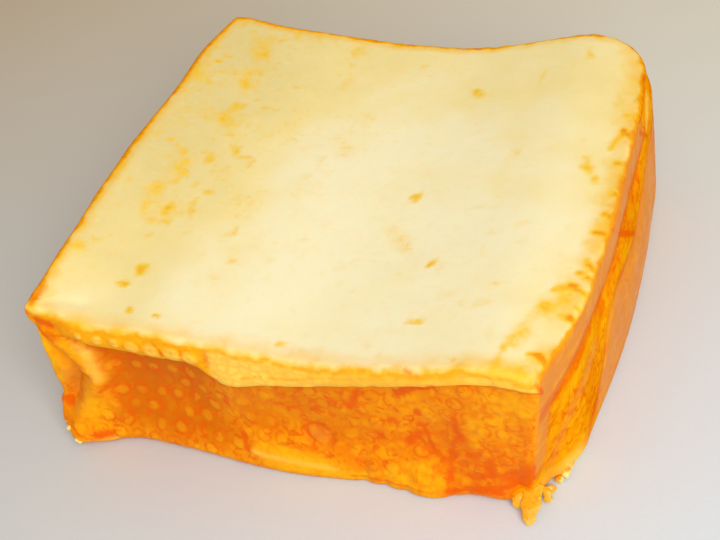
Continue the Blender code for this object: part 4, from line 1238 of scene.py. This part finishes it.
def torn_material(name, pale_share):
    """Broken rind: pale curd that the orange stain has only partly soaked."""
    material, tree, shader = new_material(name)
    place = node_in(tree, "ShaderNodeTexCoord").outputs["Object"]
    patches = spots(tree, place, 1.8, 3.0, 0.62 - pale_share * 0.4, 0.78 - pale_share * 0.4)
    colour = mixed(tree, patches, GOLD, CURD)
    streaks = spots(tree, place, 0.8, 2.0, 0.52, 0.7, 0.0, 0.6)
    colour = mixed(tree, streaks, colour, ORANGE)
    tree.links.new(colour, shader.inputs["Base Color"])
    rough = spots(tree, place, 1.0, 2.0, 0.3, 0.7, 0.35, 0.5)
    tree.links.new(rough, shader.inputs["Roughness"])
    let_light_in(shader, 0.35, (1.0, 0.55, 0.22), SCATTER_DEPTH / 2.0)
    roughen(tree, shader, noise(tree, place, 0.5, 3.0), 0.4, 0.0003)
    return material


for piece, pale_share in ((flap, 0.0), (curds, 0.5)):
    piece.data.materials.append(torn_material(piece.name + "_finish", pale_share))
    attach(piece, "root")
print("torn pieces ride on root")

# %% [markdown]
# ## Board, light and camera
#
# The floor is a pale board. The light is soft: a large neutral panel at the front right and a
# warm glow from all round. The board falls off from white at the front right to a warm grey at
# the back left, partly by the light and partly painted into its colour. The camera stands where
# the photographer's did: its place and its three axes come from fitting the block's edges.

# %% Floor
FLOOR_SIZE, FLOOR_DROP = 3.0, 0.0001
# The board colours paint the light's falloff: bluish white near the front, warmer and darker far back and to
# the left.
BOARD_NEAR, BOARD_FAR = (0.68, 0.75, 0.80, 1.0), (0.74, 0.70, 0.58, 1.0)
FALLOFF_LEFT, FALLOFF_RIGHT = (0.72, 0.60, 0.48, 1.0), (1.0, 1.0, 1.0, 1.0)
floor_mesh = bpy.data.meshes.new("floor")
reach = FLOOR_SIZE / 2.0
floor_corners = [(-reach, -reach), (reach, -reach), (reach, reach), (-reach, reach)]
floor_mesh.from_pydata([(*corner, -FLOOR_DROP) for corner in floor_corners], [], [(0, 1, 2, 3)])
floor = bpy.data.objects.new("floor", floor_mesh)
bpy.context.scene.collection.objects.link(floor)
board, board_tree, board_shader = new_material("pale_board")
board_place = node_in(board_tree, "ShaderNodeTexCoord").outputs["Object"]
board_parts = node_in(board_tree, "ShaderNodeSeparateXYZ", {0: board_place})
# Painted falloff of the light over the board, to the back and to the left.
board_far = between(board_tree, board_parts.outputs[1], -0.04, 0.16)
board_right = between(board_tree, board_parts.outputs[0], -0.24, 0.10)
board_colour = mixed(board_tree, board_far, BOARD_NEAR, BOARD_FAR)
board_falloff = mixed(board_tree, board_right, FALLOFF_LEFT, FALLOFF_RIGHT)
board_colour = vectors(board_tree, "MULTIPLY", board_colour, board_falloff).outputs[0]
board_tree.links.new(board_colour, board_shader.inputs["Base Color"])
board_shader.inputs["Roughness"].default_value = 0.55
roughen(board_tree, board_shader, noise(board_tree, board_place, 1.2, 2.0), 0.15, 0.0002)
floor_mesh.materials.append(board)
print("floor:", FLOOR_SIZE, "m square")

# %% Lights
ROOM_COLOUR, ROOM_GLOW = (1.0, 0.91, 0.79, 1.0), 0.52
KEY_PLACE, KEY_TARGET = (0.34, -0.46, 0.47), (0.02, -0.02, 0.0)
KEY_SIZE, KEY_POWER, KEY_COLOUR = 0.5, 4.7, (0.97, 0.98, 1.0)
world = bpy.data.worlds.new("warm_room")
bpy.context.scene.world = world
world.use_nodes = True
world.node_tree.nodes["Background"].inputs[0].default_value = ROOM_COLOUR
world.node_tree.nodes["Background"].inputs[1].default_value = ROOM_GLOW


def panel(name, place, target, size, power, colour):
    """A square soft light that faces its target."""
    light = bpy.data.lights.new(name, "AREA")
    light.shape = "SQUARE"
    light.size, light.energy, light.color = size, power, colour
    made = bpy.data.objects.new(name, light)
    made.location = place
    made.rotation_euler = (Vector(place) - Vector(target)).to_track_quat("Z", "Y").to_euler()
    bpy.context.scene.collection.objects.link(made)
    return made


panel("key_panel", KEY_PLACE, KEY_TARGET, KEY_SIZE, KEY_POWER, KEY_COLOUR)
print("lights: key panel and warm room")

# %% Camera
CAMERA_PLACE = (136.769, -132.424, 189.385)
CAMERA_RIGHT = (0.93624, 0.31636, -0.15286)
CAMERA_UP = (-0.10966, 0.67644, 0.72829)
FOCAL_PIXELS, PHOTO_WIDTH, SENSOR = 1249.78, 720.0, 36.0
camera_data = bpy.data.cameras.new("camera")
camera_data.sensor_width = SENSOR
camera_data.lens = FOCAL_PIXELS / PHOTO_WIDTH * SENSOR
camera_data.clip_start = 0.01
camera = bpy.data.objects.new("camera", camera_data)
bpy.context.scene.collection.objects.link(camera)
right_axis, up_axis = np.array(CAMERA_RIGHT), np.array(CAMERA_UP)
turned = np.eye(4)
turned[:3, :3] = np.stack([right_axis, up_axis, np.cross(right_axis, up_axis)], axis=1)
turned[:3, 3] = to_metres([CAMERA_PLACE])[0]
camera.matrix_world = Matrix(turned.tolist())
bpy.context.scene.camera = camera
bpy.context.scene.view_settings.view_transform = "Standard"
print("camera lens:", round(camera_data.lens, 1), "mm")
